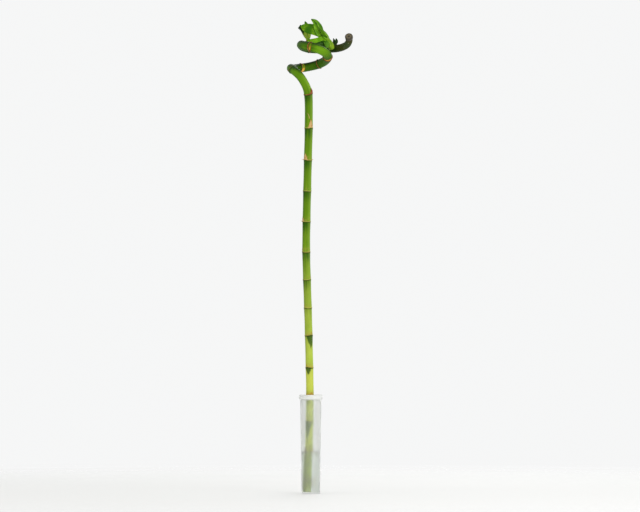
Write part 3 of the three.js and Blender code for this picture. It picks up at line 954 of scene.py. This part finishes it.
def papery_ring(seed, node, shift, width, tear, lobe, facing):
    at = NODE_AT[node] + shift
    ring = SWELLING + LIP + PAPER_BULGE
    bm = paper_strip(at, cane_radius(at) + PAPER_GAP, ring, width, tear, lobe, facing, seed)
    straight = places(bm)
    straight[:, 2] += ring_dip(turn_of(straight), node)
    put(bm, straight)
    bend(bm, CANE)
    return bm


def joined(shapes):
    """One bmesh with all the given ones in it."""
    whole = bmesh.new()
    carrier = bpy.data.meshes.new("carrier")
    for shape in shapes:
        shape.to_mesh(carrier)
        shape.free()
        whole.from_mesh(carrier)
    bpy.data.meshes.remove(carrier)
    return whole


paper_rings = joined(papery_ring(seed, *ring) for seed, ring in enumerate(PAPER_RINGS, start=1))
sheath_strip = paper_strip(
    at=3.8, radius=3.3, ring=0.4, width=2.2, tear=1.8, lobe=1.2, facing=300, seed=40,
)
bend(sheath_strip, Spine(BACK_SHEATH))
print(len(PAPER_RINGS), "papery rings with", len(paper_rings.faces), "faces")

# %% [markdown]
# Dry leaf foot is brown, with darker fibres and bleached patches. Its thickness comes last, after
# the normals have been turned outwards, and from a modifier: a wall modelled in full would have
# to be torn twice, inside and outside.

# %% Paper
PAPER_THICKNESS = 0.14


def paper_finish(name, dark, middle, pale, bleached):
    """Dry leaf foot, with darker fibres and bleached patches."""
    paper = Finish(name, Specular_IOR_Level=0.2)
    grown = paper.read("grown")
    fibre = paper.grain(paper.stretched(grown, (1, 1, 0.4)), 0.6, detail=4)
    patch = paper.grain(grown, 0.22)
    colour = paper.layered(
        middle, (fibre.rise(0.35, 0.65), dark), (patch.rise(0.5, 0.7) * bleached, pale),
    )
    paper.paint(Base_Color=colour, Roughness=0.7 + fibre * 0.2)
    paper.relief(fibre, 0.2, 0.0002)
    return paper


def thicken(piece, thickness, levels=0):
    """Gives a sheet its thickness, half to either side, and rounds its edges if levels ask."""
    wall = piece.modifiers.new("wall", "SOLIDIFY")
    wall.thickness = thickness * MM
    wall.offset = 0
    if levels:
        smooth = piece.modifiers.new("smooth", "SUBSURF")
        smooth.levels = smooth.render_levels = levels


dry_paper = paper_finish(
    "dry paper", tint(104, 54, 24), tint(142, 80, 42), tint(196, 146, 102), bleached=0.7,
)
pale_paper = paper_finish(
    "pale paper", tint(164, 112, 64), tint(206, 168, 118), tint(236, 222, 192), bleached=0.8,
)
thicken(settle("paper_rings", paper_rings, dry_paper, "stalk_skin"), PAPER_THICKNESS)
thicken(settle("sheath_strip", sheath_strip, pale_paper, "leaf"), PAPER_THICKNESS)

# %% [markdown]
# A few threads stand off the cane: dry hairs where a leaf foot tore, and at three of the upper
# nodes short root tips and a curled flap. Each is a thin rod along a few points, made as the cane
# is: spun straight, with its radius changing along it, and then bent.

# %% Hairs and root tips
HAIR_RADII = (0.4, 0.34, 0.1)
HAIRS = [
    [(0.4, -15.6, 548.6), (0.9, -16.2, 552), (0.8, -16.4, 555.6)],
    [(1.6, -14.6, 548.4), (2.2, -14.8, 550.4), (2.1, -14.7, 552.6)],
    [(-29.2, -7, 578.8), (-31, -8.2, 579.2), (-32.4, -8.8, 580)],
]
ROOT_TIPS = [
    [(-1.8, -15.4, 513), (-2.8, -16, 517.4), (-4.8, -16.2, 520.8)],
    [(-9.6, -9.6, 457.6), (-11.4, -10.2, 457.3), (-12.6, -10.6, 458)],
    [(1.4, -9.8, 457.4), (2.8, -10.2, 457), (3.6, -10.6, 457.2)],
    [(-11.4, -7.4, 372.4), (-12.8, -7.8, 373), (-13.8, -8, 374.2)],
]


def rod(points, radii, sides=16, stations=24):
    """A rod along a line, with its radius given at even steps along it, and closed ends."""
    spine = Spine(points)
    shares = np.linspace(0, 1, stations + 1)
    girth = np.interp(shares, np.linspace(0, 1, len(radii)), radii)
    profile = [(0, 0), *zip(girth, shares * spine.length), (0, spine.length)]
    bm = turned(profile, sides)
    bend(bm, spine)
    grown = bm.verts.layers.float_vector["grown"]
    note(bm, "leaf", [(0, vert[grown].z / spine.length, 0) for vert in bm.verts])
    return bm


for name, lines, paper in (("node_hairs", HAIRS, dry_paper), ("root_tips", ROOT_TIPS, pale_paper)):
    threads = joined(rod(points, HAIR_RADII, sides=8, stations=8) for points in lines)
    settle(name, threads, paper, "stalk_skin")

# %% [markdown]
# The roots hang in the water from the lowest two nodes. Thick ones stand where the packed solid
# has them, and thinner side roots start between those. A root wavers as it grows, and none may
# reach through the wall, so each point is drawn in until it has room inside the tube.

# %% Roots
TUBE_HEIGHT = 135
TUBE_BASE_RADIUS, TUBE_TOP_RADIUS = 12.6, 14.5
TUBE_WALL = 1.3
ROOT_ROOM = 1.5
ROOT_INSIDE = [(-2.5, 1, 0), (-0.4, 0, 0)]  # out from the skin, rise, share of the waver
KNEE_REACH, KNEE_FALL = 0.75, 0.3
MEAN_FALL, FALL_SPREAD, FALL_WAVES = 0.7, 0.3, 5
WAVER, WAVER_STEP = 1.1, 0.7
SEED_STEP = 3.7
ROOT_RINGS = [  # node, count, reach, drop, first turn, radius at the foot
    (1, 5, 2.6, 9, 0.4, 0.62), (0, 7, 2.4, 12, 0.1, 0.62),
    (1, 6, 3.4, 15, 0.9, 0.34), (0, 8, 3.2, 9, 0.5, 0.34),
]


def tube_radius(height):
    share = height / TUBE_HEIGHT
    return TUBE_BASE_RADIUS + (TUBE_TOP_RADIUS - TUBE_BASE_RADIUS) * share


def inner_radius(height):
    return tube_radius(height) - TUBE_WALL


def root(node, angle, reach, drop, radius, seed):
    """A root that starts inside the cane, comes out, bends at a knee and falls."""
    start = CANE.line[np.abs(CANE.at - NODE_AT[node]).argmin()]
    out = np.array((math.cos(angle), math.sin(angle), 0))
    fall = drop * (MEAN_FALL + FALL_SPREAD * math.sin(FALL_WAVES * angle))
    knee = (reach * KNEE_REACH, -fall * KNEE_FALL, 1)
    points = []
    for step, (further, rise, free) in enumerate([*ROOT_INSIDE, knee, (reach, -fall, 1)]):
        waver = noise.noise_vector(Vector((seed, step * WAVER_STEP, 0))) * free * WAVER
        point = start + out * (cane_radius(NODE_AT[node]) + further)
        point += np.array((waver.x, waver.y, rise))
        drawn_in = min(1, (inner_radius(point[2]) - ROOT_ROOM) / math.hypot(point[0], point[1]))
        points.append(point * (drawn_in, drawn_in, 1))
    return rod(points, (radius, radius * 0.85, radius * 0.5), sides=8, stations=14)


roots = []
for node, count, reach, drop, first, radius in ROOT_RINGS:
    for step in range(count):
        angle = first + math.tau * step / count
        roots.append(root(node, angle, reach, drop, radius, len(roots) * SEED_STEP))
print(len(roots), "roots")

# %% [markdown]
# A root is orange where it leaves the cane and pale where it has grown into the water. The share
# of its length, which each rod carries, tells the finish where it is.

# %% Root skin
def root_finish():
    """Pale root skin, orange at the foot, with a fine grain."""
    skin = Finish("root skin", Specular_IOR_Level=0.4)
    _, along, _ = skin.parts(skin.read("leaf"))
    grain = skin.grain(skin.read("grown"), 1.1)
    colour = skin.layered(
        tint(206, 150, 92),
        (along.rise(0.1, 0.5), tint(236, 228, 196)),
        (grain.rise(0.5, 0.7) * 0.4, tint(196, 170, 120)),
    )
    skin.paint(Base_Color=colour, Roughness=0.45 + grain * 0.2)
    return skin


settle("roots", joined(roots), root_finish(), "stalk_skin")

# %% [markdown]
# The tube is a plain cup of milky plastic with a thick collar. Its half profile goes from the
# middle of the underside up the outer wall, round the collar and down inside, with small arcs at
# the edges, because a sharp edge would catch no light.

# %% The tube's profile
TUBE_STEPS = 96
WALL_STEP = 4
COLLAR_RADIUS, COLLAR_HEIGHT = 16, 6.3
COLLAR_FOOT = TUBE_HEIGHT - COLLAR_HEIGHT
BASE_EDGE, MOUTH_EDGE = 1, 0.6
COLLAR_LOWER_EDGE, COLLAR_UPPER_EDGE = 0.7, 0.8
UNDERSIDE_IN, UNDERSIDE_UP, UNDERSIDE_EDGE = 0.6, 0.15, 0.2
BASE_HOLLOW, HOLLOW_FROM, HOLLOW_FULL = 0.4, 2.6, 3.4


def arc(centre, radius, start, end, steps=5):
    """Points of an arc of a profile, from one angle in degrees to another."""
    angles = [math.radians(start + (end - start) * step / steps) for step in range(steps + 1)]
    return [
        (centre[0] + radius * math.cos(angle), centre[1] + radius * math.sin(angle))
        for angle in angles
    ]


def tube_profile():
    rim_edge, mouth_edge = TUBE_HEIGHT - COLLAR_UPPER_EDGE, TUBE_HEIGHT - MOUTH_EDGE
    underside = (COLLAR_RADIUS - UNDERSIDE_IN, COLLAR_FOOT + UNDERSIDE_UP)
    lower_height = COLLAR_FOOT + UNDERSIDE_EDGE + COLLAR_LOWER_EDGE
    floor_edge = (inner_radius(TUBE_FLOOR) - BASE_EDGE, TUBE_FLOOR + BASE_EDGE)
    up_the_wall = range(3, int(COLLAR_FOOT), WALL_STEP)
    down_the_bore = range(TUBE_HEIGHT - 2, TUBE_FLOOR + 2, -WALL_STEP)
    return [
        (0, BASE_HOLLOW), (TUBE_BASE_RADIUS - HOLLOW_FULL, BASE_HOLLOW),
        (TUBE_BASE_RADIUS - HOLLOW_FROM, 0),
        *arc((TUBE_BASE_RADIUS - BASE_EDGE, BASE_EDGE), BASE_EDGE, -90, 0),
        *((tube_radius(height), height) for height in up_the_wall),
        (tube_radius(COLLAR_FOOT), COLLAR_FOOT), underside,
        *arc((COLLAR_RADIUS - COLLAR_LOWER_EDGE, lower_height), COLLAR_LOWER_EDGE, -80, 0),
        *arc((COLLAR_RADIUS - COLLAR_UPPER_EDGE, rim_edge), COLLAR_UPPER_EDGE, 0, 90),
        *arc((inner_radius(TUBE_HEIGHT) + MOUTH_EDGE, mouth_edge), MOUTH_EDGE, 90, 180),
        *((inner_radius(height), height) for height in down_the_bore),
        *arc(floor_edge, BASE_EDGE, 0, -90), (0, TUBE_FLOOR),
    ]


cup = turned(tube_profile(), TUBE_STEPS)
print(len(cup.faces), "faces on the tube")

# %% [markdown]
# The frosting is rough glass: light passes it, but what stands close behind the wall is only seen
# as a soft shape, and the cane fades where it is further from the wall. The collar is thicker, so
# it hides more. There a plain white shader is mixed in, as milk is white where glass is clear.

# %% The frosted tube
CLEAR_PLASTIC, CLOUDED_PLASTIC, MILK = tint(241, 242, 240), tint(234, 236, 234), tint(233, 234, 232)


def frost_finish():
    """Milky plastic: rough glass with a soft cloudiness, a little whiter at the collar."""
    frost = Finish("frosted plastic", IOR=1.12, Transmission_Weight=0.9)
    place = frost.node("TexCoord", {}, out="Object")
    _, _, height = frost.parts(place)
    cloud = frost.grain(place, 60)
    collar = height.rise((COLLAR_FOOT - 1) * MM, COLLAR_FOOT * MM)
    colour = frost.layered(
        CLEAR_PLASTIC, (cloud.rise(0.3, 0.7) * 0.5, CLOUDED_PLASTIC), (collar, MILK),
    )
    frost.paint(Base_Color=colour, Roughness=0.35 + cloud * 0.1 + collar * 0.2)
    clear = Link(frost, frost.shader.outputs["BSDF"])
    milk = frost.node("BsdfDiffuse", {"Color": MILK})
    surface = frost.tree.nodes["Material Output"].inputs["Surface"]
    frost.feed(surface, frost.node("MixShader", {0: collar * 0.55, 1: clear, 2: milk}))
    return frost


settle("frosted_tube", cup, frost_finish(), "frosted_plastic", "tube")

# %% [markdown]
# The water stands in the tube up to a level line, and climbs a little at the wall. The cane and
# its roots stand in it, so the water has a hole that follows the cane. That takes two shapes: a
# spun block of water, and a slightly wider copy of the cane's foot to take away from it.

# %% Water and hole
WATER_LEVEL = 56
WATER_GAP, WATER_FLOOR_GAP, WATER_FOOT = 0.06, 0.1, 1.2
WATER_STEP = 4
MENISCUS = [(0, 0.7), (0.7, 0.15), (1.6, -0.1)]  # in from the wall, over the level
HOLE_GAP, HOLE_OVER, HOLE_UNDER = 0.05, 12, 3


def water_block():
    """Water up to its level, which climbs a little at the wall."""
    floor_level = TUBE_FLOOR + WATER_FLOOR_GAP
    up_the_wall = range(WATER_STEP, WATER_LEVEL, WATER_STEP)
    edge = inner_radius(WATER_LEVEL) - WATER_GAP
    climb = [(edge - inwards, WATER_LEVEL + over) for inwards, over in MENISCUS]
    return turned([
        (0, floor_level), (inner_radius(TUBE_FLOOR) - WATER_FOOT, floor_level),
        *((inner_radius(height) - WATER_GAP, height) for height in up_the_wall),
        *climb, (0, climb[-1][1]),
    ], TUBE_STEPS)


def foot_hole():
    """The cane's foot, a hair wider all round, from under the floor to over the water."""
    foot = heights[:np.searchsorted(heights, WATER_LEVEL + HOLE_OVER)]
    wider = cane_radius(foot) + SWELLING + LIP + HOLE_GAP
    profile = [(0, -HOLE_UNDER), (wider[0], -HOLE_UNDER), *zip(wider, foot), (0, foot[-1])]
    bm = turned(profile, CANE_SIDES)
    bend(bm, CANE)
    return bm


def loose(name, bm):
    """An object outside the picture, for a Boolean to work with."""
    mesh = bpy.data.meshes.new(name)
    bm.to_mesh(mesh)
    bm.free()
    made = bpy.data.objects.new(name, mesh)
    scene.collection.objects.link(made)
    return made


block, hole = loose("block", water_block()), loose("hole", foot_hole())
print("water block with", len(block.data.polygons), "faces, hole with", len(hole.data.polygons))

# %% [markdown]
# A Boolean modifier takes one from the other. Its result is kept as a mesh of its own, so both
# helpers can go. The finish is clear, with a breath of green that drifts through it.

# %% The water
def water_finish():
    """Clear water with a breath of green."""
    water = Finish("water", IOR=1.33, Transmission_Weight=1.0)
    drift = water.grain(water.node("TexCoord", {}, out="Object"), 30, detail=2)
    colour = water.blend(drift, tint(240, 250, 240), tint(250, 253, 250))
    water.paint(Base_Color=colour, Roughness=0.02 + drift * 0.03)
    return water


cut = block.modifiers.new("cut", "BOOLEAN")
cut.operation = "DIFFERENCE"
cut.solver = "EXACT"
cut.object = hole
bpy.context.view_layer.update()
evaluated = block.evaluated_get(bpy.context.evaluated_depsgraph_get())
cut_mesh = bpy.data.meshes.new_from_object(evaluated)
standing_water = bmesh.new()
standing_water.from_mesh(cut_mesh)
for helper in (block, hole):
    bpy.data.objects.remove(helper)
bpy.data.meshes.remove(cut_mesh)
settle("water_column", standing_water, water_finish(), "water", "water")

# %% [markdown]
# The cut end is sealed with a cap of brown wax, dipped on while warm: it has a rolled edge, a
# shallow dimple and rings like those in a puddle that has dried. It is spun straight and carried
# to the end of the cane, where it sits with its skirt round the last few millimetres.

# %% The wax seal
SEAL_SIDES = 48
SEAL_SKIRT, SEAL_TOP, SEAL_WALL, SEAL_GAP = 3.2, 1.5, 0.8, 0.1
DIMPLE = [(0.66, 0.05), (0.56, 0.4), (0.4, 0.5), (0.3, 0.35)]  # share of the radius, depth
DIMPLE_MIDDLE = 0.42
WAX_UNEVENNESS, WAX_WAVES = 0.025, 0.6


def wax_cap():
    inside = cane_radius(CANE.length) + SEAL_GAP
    outside = inside + SEAL_WALL
    rolled = arc((outside - SEAL_WALL, SEAL_TOP - SEAL_WALL), SEAL_WALL, 0, 90)
    profile = [
        (inside, -SEAL_SKIRT), (inside + 0.4, -SEAL_SKIRT - 0.1),
        (outside - 0.1, -SEAL_SKIRT + 0.3), (outside, -SEAL_SKIRT + 0.9), (outside - 0.05, 0),
        *rolled, *((outside * share, SEAL_TOP - depth) for share, depth in DIMPLE),
        (0, SEAL_TOP - DIMPLE_MIDDLE), (0, SEAL_GAP), (inside, SEAL_GAP), (inside, -SEAL_SKIRT),
    ]
    bm = turned([(radius, CANE.length + height) for radius, height in profile], SEAL_SIDES)
    straight = places(bm)
    for row in straight:
        row[:2] *= 1 + WAX_UNEVENNESS * noise.noise(Vector(row) * WAX_WAVES)
    put(bm, straight)
    bend(bm, CANE)
    return bm


def wax_finish():
    """Brown wax: dark at its rim and in the middle, with a paler ring between."""
    wax = Finish("wax", Specular_IOR_Level=0.4)
    grown = wax.read("grown")
    mottle = wax.grain(grown, 0.9, detail=4)
    off_axis = wax.length(wax.stretched(grown, (1, 1, 0))).frayed(mottle, 0.8)
    colour = wax.layered(
        tint(50, 44, 28),
        (off_axis.stretch(1.6, 2.2, 3.4, 4.2) * 0.7, tint(100, 90, 62)),
        (mottle.rise(0.55, 0.75) * 0.5, tint(82, 66, 42)),
        (off_axis.rise(0.9, 0.4), tint(36, 30, 22)),
    )
    wax.paint(Base_Color=colour, Roughness=0.4 + mottle * 0.25)
    wax.relief(mottle, 0.3, 0.0003)
    return wax


settle("end_wax", wax_cap(), wax_finish(), "wax", "wax_seal")

# %% [markdown]
# A leaf is cut flat from a grid: its outline narrows towards the tip, and a shortened leaf keeps
# its width and ends in a dry tear. The grid is then laid along its middle line. Its fold cups it
# across, its midrib is a shallow crease, and a slight ripple runs along its edges. It isn't
# carried as a rod is, because a leaf may also turn on its way, from the side where it starts to
# that of its tip.

# %% Leaf shapes
LEAF_ACROSS, LEAF_ALONG = 14, 40
CREASE, CREASE_REACH = 0.3, 0.14
RIPPLE, RIPPLE_STEP = 0.22, 4.5
TORN_FROM, TEAR_WAVES = 0.8, 3.1
WHOLE_FOOT, CUT_FOOT = 0.12, 0.14  # where on its arch an outline starts
OUTLINE_FULLNESS, NARROWEST = 0.7, 0.03
FOLD_NARROWS = 0.3
GRAINS_APART = 5.0


def leaf_outline(t, cut, belly):
    """Share of the greatest width along the leaf. A cut leaf says how much of the arch it reaches,
    and a higher belly moves the widest place towards the tip."""
    reached = CUT_FOOT + cut * t if cut else WHOLE_FOOT + (1 - WHOLE_FOOT) * t**belly
    arch = np.sin(math.pi * np.minimum(1, reached))
    return np.maximum(arch**OUTLINE_FULLNESS, NARROWEST)


def leaf(points, side, width, fold, tip_side=None, cut=0, belly=0.85, tear=0.3, seed=0):
    bm = bmesh.new()
    bmesh.ops.create_grid(bm, x_segments=LEAF_ACROSS, y_segments=LEAF_ALONG, size=1)
    share, t = places(bm)[:, 0], places(bm)[:, 1] / 2 + 0.5
    spine = Spine(points, side)
    if cut:
        torn = np.array([noise.noise(Vector((x * TEAR_WAVES, seed, 0))) for x in share])
        t = t * (1 - np.maximum(0, t - TORN_FROM) * tear * (0.5 + torn))
    along = t * spine.length
    ahead = unit(spine.track(spine.ahead, along))
    across = np.outer(1 - t, side) + np.outer(t, tip_side or side)
    across = unit(across - ahead * (across * ahead).sum(axis=1, keepdims=True))
    half = width / 2 * leaf_outline(t, cut, belly)
    sideways = share * half * (1 - FOLD_NARROWS * fold * np.abs(share))
    ripple = RIPPLE * np.sin(along / RIPPLE_STEP * 2 + seed + share * 2) * share**2
    raised = fold * half * share**2 + ripple - CREASE * bell(share, CREASE_REACH) * (1 - t)
    bent = spine.track(spine.line, along) + across * sideways[:, None]
    put(bm, bent + np.cross(across, ahead) * raised[:, None])
    note(bm, "grown", np.column_stack([sideways, np.full(len(t), seed * GRAINS_APART), along]))
    note(bm, "leaf", np.column_stack([share, t, np.full(len(t), seed)]))
    return bm


widest = np.linspace(0, 1, 101)[leaf_outline(np.linspace(0, 1, 101), 0, 0.85).argmax()]
print(f"a whole leaf is widest at {widest:.0%} of its length")

# %% [markdown]
# All leaves have the same build: fine veins that run lengthwise, a foot darkened as painted
# shade, an edge that differs and a tip that has dried. Where an edge is darker than its leaf, it
# is painted shade of the fold. Some have yellow patches, a half in shade or a pale foot where
# they leave their sheath. One function makes every leaf's finish, so that they stay one family.

# %% A leaf's finish
ALONG_LEAF = (1, 1, 0.02)
EDGE_WIDTH, TIP_LENGTH = 0.14, 0.04
HALF_SHADE, PATCH_YELLOW, PALE_FOOT = tint(22, 60, 0), tint(150, 164, 24), tint(140, 164, 48)
PATCH_BREAK = 0.7  # share of the length where the patches stop for a while


def leaf_finish(name, colours, edge_from=0.8, tip_from=0.93, patches=0, half=0, pale_foot=False):
    """Leaf skin of a deep and a fresh green, with the colours of its edge and tip."""
    skin = Finish(name, Specular_IOR_Level=0.25, Specular_Tint=GREEN_SHINE)
    deep, brighter, edge, tip = (tint(*colour) for colour in colours)
    grown = skin.read("grown")
    share, along, _ = skin.parts(skin.read("leaf"))
    lengthwise = skin.stretched(grown, ALONG_LEAF)
    vein, fine = skin.grain(lengthwise, 2.2), skin.grain(lengthwise, 6, detail=2)
    cloud = skin.grain(skin.stretched(grown, (1, 1, 0.6)), 0.2)
    layers = [
        ((vein * 0.35 + cloud * 0.75).rise(0.38, 0.74), brighter),
        (fine.rise(0.45, 0.75) * 0.22, deep),
        # painted shade: darker towards the leaf's foot
        (along.rise(0.3, 0) * 0.35, deep),
    ]
    if half:
        layers.append((share.rise(-0.12, 0.06) * half, HALF_SHADE))
    if patches:
        spots = (cloud + vein * 0.1).rise(0.56, 0.86) * along.rise(0.2, 0.5)
        layers.append((spots * patches, PATCH_YELLOW))
        layers.append(((along - PATCH_BREAK).size().rise(0.18, 0.03) * 0.8, deep))
    if pale_foot:
        layers.append((along.frayed(vein, 0.2).rise(0.56, 0.36), PALE_FOOT))
    # where the edge colour is darker than the leaf, it is painted shade of the fold
    rim = share.size().frayed(cloud, 0.15).rise(edge_from, edge_from + EDGE_WIDTH)
    dry = along.frayed(fine, 0.05).rise(tip_from, tip_from + TIP_LENGTH)
    veined_tip = skin.blend(vein.rise(0.4, 0.62) * 0.6, tip, deep)
    colour = skin.layered(deep, *layers, (rim * 0.8, edge), (dry, veined_tip))
    skin.paint(Base_Color=colour, Roughness=0.32 + fine * 0.16 + dry * 0.3)
    skin.relief(vein * 0.6 + fine * 0.4, 0.25, 0.0003)
    return skin


print(f"a leaf's edge fades in over {EDGE_WIDTH:.0%} of its half width")

# %% [markdown]
# The leaves' greens are painted with the light that falls on them: those on top are a lighter,
# yellower green, as painted light, and those below and behind are dark, as painted shade. Two of
# those that were cut short have a dry, rusty end. The sheaths have the same finish, and those of
# the two large shoots are paler than most of their leaves.

# %% Leaf finishes
DARK_TIP, DRY_TIP, SHEATH_EDGE, SHEATH_TIP = (40, 56, 20), (150, 84, 44), (84, 130, 34), (90, 130, 36)
# lighter greens are painted light on leaves on top, darker ones painted shade below and behind, and
# dark edge colours painted shade of the fold
LEAF_LOOKS = {  # deep and fresh green, edge and tip, and what differs
    "broad leaf": (
        [(38, 88, 0), (98, 144, 8), (150, 176, 64), (160, 168, 80)],
        {"edge_from": 0.93, "tip_from": 0.98, "patches": 0.6},
    ),
    "long leaf": (
        [(62, 114, 6), (120, 166, 36), (22, 58, 2), DARK_TIP], {"edge_from": 0.9, "half": 0.3},
    ),
    "narrow leaf": ([(92, 142, 26), (138, 178, 60), (60, 104, 20), DARK_TIP], {}),
    "bright leaf": (
        [(74, 130, 4), (122, 170, 22), (48, 94, 6), DRY_TIP], {"edge_from": 0.9, "tip_from": 0.88},
    ),
    "shaded leaf": ([(16, 52, 2), (34, 78, 6), (26, 70, 8), DARK_TIP], {}),
    "shaded cut leaf": (
        [(16, 54, 0), (38, 84, 4), (104, 150, 40), (140, 52, 26)],
        {"edge_from": 0.95, "tip_from": 0.84},
    ),
    "pointed leaf": (
        [(44, 92, 12), (76, 124, 28), (112, 156, 56), DARK_TIP],
        {"edge_from": 0.94, "pale_foot": True},
    ),
    "stub leaf": (
        [(10, 34, 0), (22, 54, 6), (30, 60, 14), (26, 40, 12)],
        {"tip_from": 0.98, "pale_foot": True},
    ),
    "leaf sheath": (
        [(76, 118, 12), (136, 166, 40), SHEATH_EDGE, SHEATH_TIP],
        {"edge_from": 0.92, "tip_from": 0.97},
    ),
    "sheath flap": (
        [(50, 96, 12), (86, 134, 30), (138, 172, 66), (96, 134, 44)],
        {"edge_from": 0.93, "tip_from": 0.96},
    ),
    "back sheath": ([(92, 128, 12), (168, 184, 62), SHEATH_EDGE, SHEATH_TIP], {}),
    "bud leaf": ([(12, 36, 8), (26, 60, 14), (44, 76, 28), DARK_TIP], {}),
}

LEAF_FINISHES = {
    name: leaf_finish(name, colours, **differing)
    for name, (colours, differing) in LEAF_LOOKS.items()
}
print(len(LEAF_FINISHES), "leaf finishes")

# %% [markdown]
# Each shoot starts in a sheath, the rolled foot of its leaves. Rolled up it is nearly a rod, so
# it is made as one that narrows towards its mouth. The bud at the foot of the free end is hardly
# more than a sheath with a tip.

# %% Sheaths
SLOTS = {"back_shoot": "leaf", "right_shoot": "leaf", "bud_shoot": "bud"}
SHEATH_SIDES = 28
SHEATHS = [  # name, points, radii, finish, solid
    ("back_sheath", BACK_SHEATH, (3.4, 3.2, 2.8, 1.8), "back sheath", "back_shoot"),
    ("right_sheath", [(29, 14, 609.6), (26.8, 12, 614.2), (23.8, 9.9, 619.2), (20.4, 9.2, 623.4)],
     (4.2, 4.9, 4.6, 2.8), "leaf sheath", "right_shoot"),
    ("bud_sheath", [(33.4, 18.4, 612), (33, 18.4, 616), (32.3, 18, 620.2)],
     (2.8, 3, 2.3), "bud leaf", "bud_shoot"),
    ("bud_tip", [(33, 18, 615.5), (32.2, 17.8, 620), (31, 17.4, 624)],
     (2, 2.2, 0.4), "bud leaf", "bud_shoot"),
]

for name, points, radii, finish, solid in SHEATHS:
    sheath = rod(points, radii, sides=SHEATH_SIDES)
    settle(name, sheath, LEAF_FINISHES[finish], SLOTS[solid], solid)

# %% [markdown]
# The leaves fan out of their sheath's mouth. Their lines keep close to those of the packed
# solids, so that a leaf lies in the space that its solid holds. Each leaf also says which way its
# width runs, how wide it is and how strongly it is folded. Every leaf is a piece of its own. A
# modifier gives it its thickness, and another rounds its rim.

# %% Leaves
LEAF_THICKNESS = 0.4
LEAVES = [  # name, points, side, width, fold, finish, solid, and what differs
    ("stub_leaf", [(-4.4, 28, 623), (-7, 32.5, 629.5), (-11.4, 34.6, 637.4), (-16.2, 35, 640.9)],
     (0.5, -0.1, 0.86), 8, 0.3, "stub leaf", "back_shoot", {"cut": 0.6, "tear": 0.05}),
    ("pointed_leaf", [(-3.6, 27, 623), (-4.6, 31.5, 632.5), (-5.6, 34, 641), (-8.2, 35, 648)],
     (1, 0.1, 0.2), 10.4, 0.35, "pointed leaf", "back_shoot", {}),
    ("broad_leaf",
     [(21, 9.6, 622.8), (12, 6.6, 630.6), (4.4, 4.2, 635), (-4, 5, 637), (-13.8, 7.4, 640.8)],
     (0.5, 0, 0.87), 15.6, 0.2, "broad leaf", "right_shoot", {"belly": 1.7}),
    ("long_back_leaf",
     [(21.4, 9.6, 621.6), (15.4, 9.6, 630.6), (12, 6.6, 639), (7.2, 2, 646.3), (0.6, -2, 649.8)],
     (0.55, 0.8, 0.1), 8.8, 0.4, "long leaf", "right_shoot", {"tip_side": (0.4, 0.4, 0.7)}),
    ("long_front_leaf",
     [(20.4, 7.4, 621.4), (15, 5, 625.2), (11.4, 4, 630.4), (8.1, 1.6, 638), (5.6, -1, 644.6),
      (0.4, -4.4, 649.4)],
     (0.75, -0.6, 0.2), 8.6, 0.5, "long leaf", "right_shoot",
     {"tip_side": (0.6, -0.4, 0.7), "belly": 1.05}),
    ("narrow_leaf", [(25, 13.2, 619.4), (22.2, 14, 626.7), (16.9, 12.6, 635)],
     (0.8, 0.5, 0.3), 4.4, 0.5, "narrow leaf", "right_shoot", {}),
    ("bright_leaf",
     [(23, 7.6, 620.6), (16.4, 4, 623.2), (10, 1, 621.5), (3.8, -2.4, 619.9), (-8.8, -6.8, 618.9)],
     (0.2, 0.2, 0.95), 7.4, 0.35, "bright leaf", "right_shoot",
     {"tip_side": (0.2, -0.1, 0.9), "cut": 0.72, "tear": 0.7}),
    ("rear_shaded_leaf",
     [(21.8, 12, 619), (13.4, 16, 620.4), (9.4, 17.4, 620.2), (5.7, 18.4, 619.4), (1.9, 19, 618),
      (-1, 19, 616.8)],
     (0.1, 0.3, 0.95), 6.4, 0.3, "shaded leaf", "right_shoot", {}),
    ("lower_shaded_leaf",
     [(25.4, 9.6, 617), (18.8, 7.2, 615.6), (13.2, 5.4, 615), (3.4, 3.6, 614.8)],
     (0.1, 0.2, 1), 10.4, 0.35, "shaded cut leaf", "right_shoot", {"cut": 0.6}),
    ("sheath_flap", [(22.2, 8.4, 624.4), (22.6, 4.6, 617), (21.8, 3.2, 609.6)],
     (0.95, 0.3, 0.1), 12, 0.3, "sheath flap", "right_shoot", {"belly": 0.6}),
    ("bud_leaf", [(34.2, 16.6, 616), (34.8, 16.4, 620), (34.8, 16.4, 624)],
     (0.8, 0.5, 0), 5.2, 0.5, "bud leaf", "bud_shoot", {}),
]

for seed, (name, points, side, width, fold, finish, solid, differing) in enumerate(LEAVES):
    blade = leaf(points, side, width, fold, seed=seed, **differing)
    piece = settle(name, blade, LEAF_FINISHES[finish], SLOTS[solid], solid)
    thicken(piece, LEAF_THICKNESS, levels=1)

# %% [markdown]
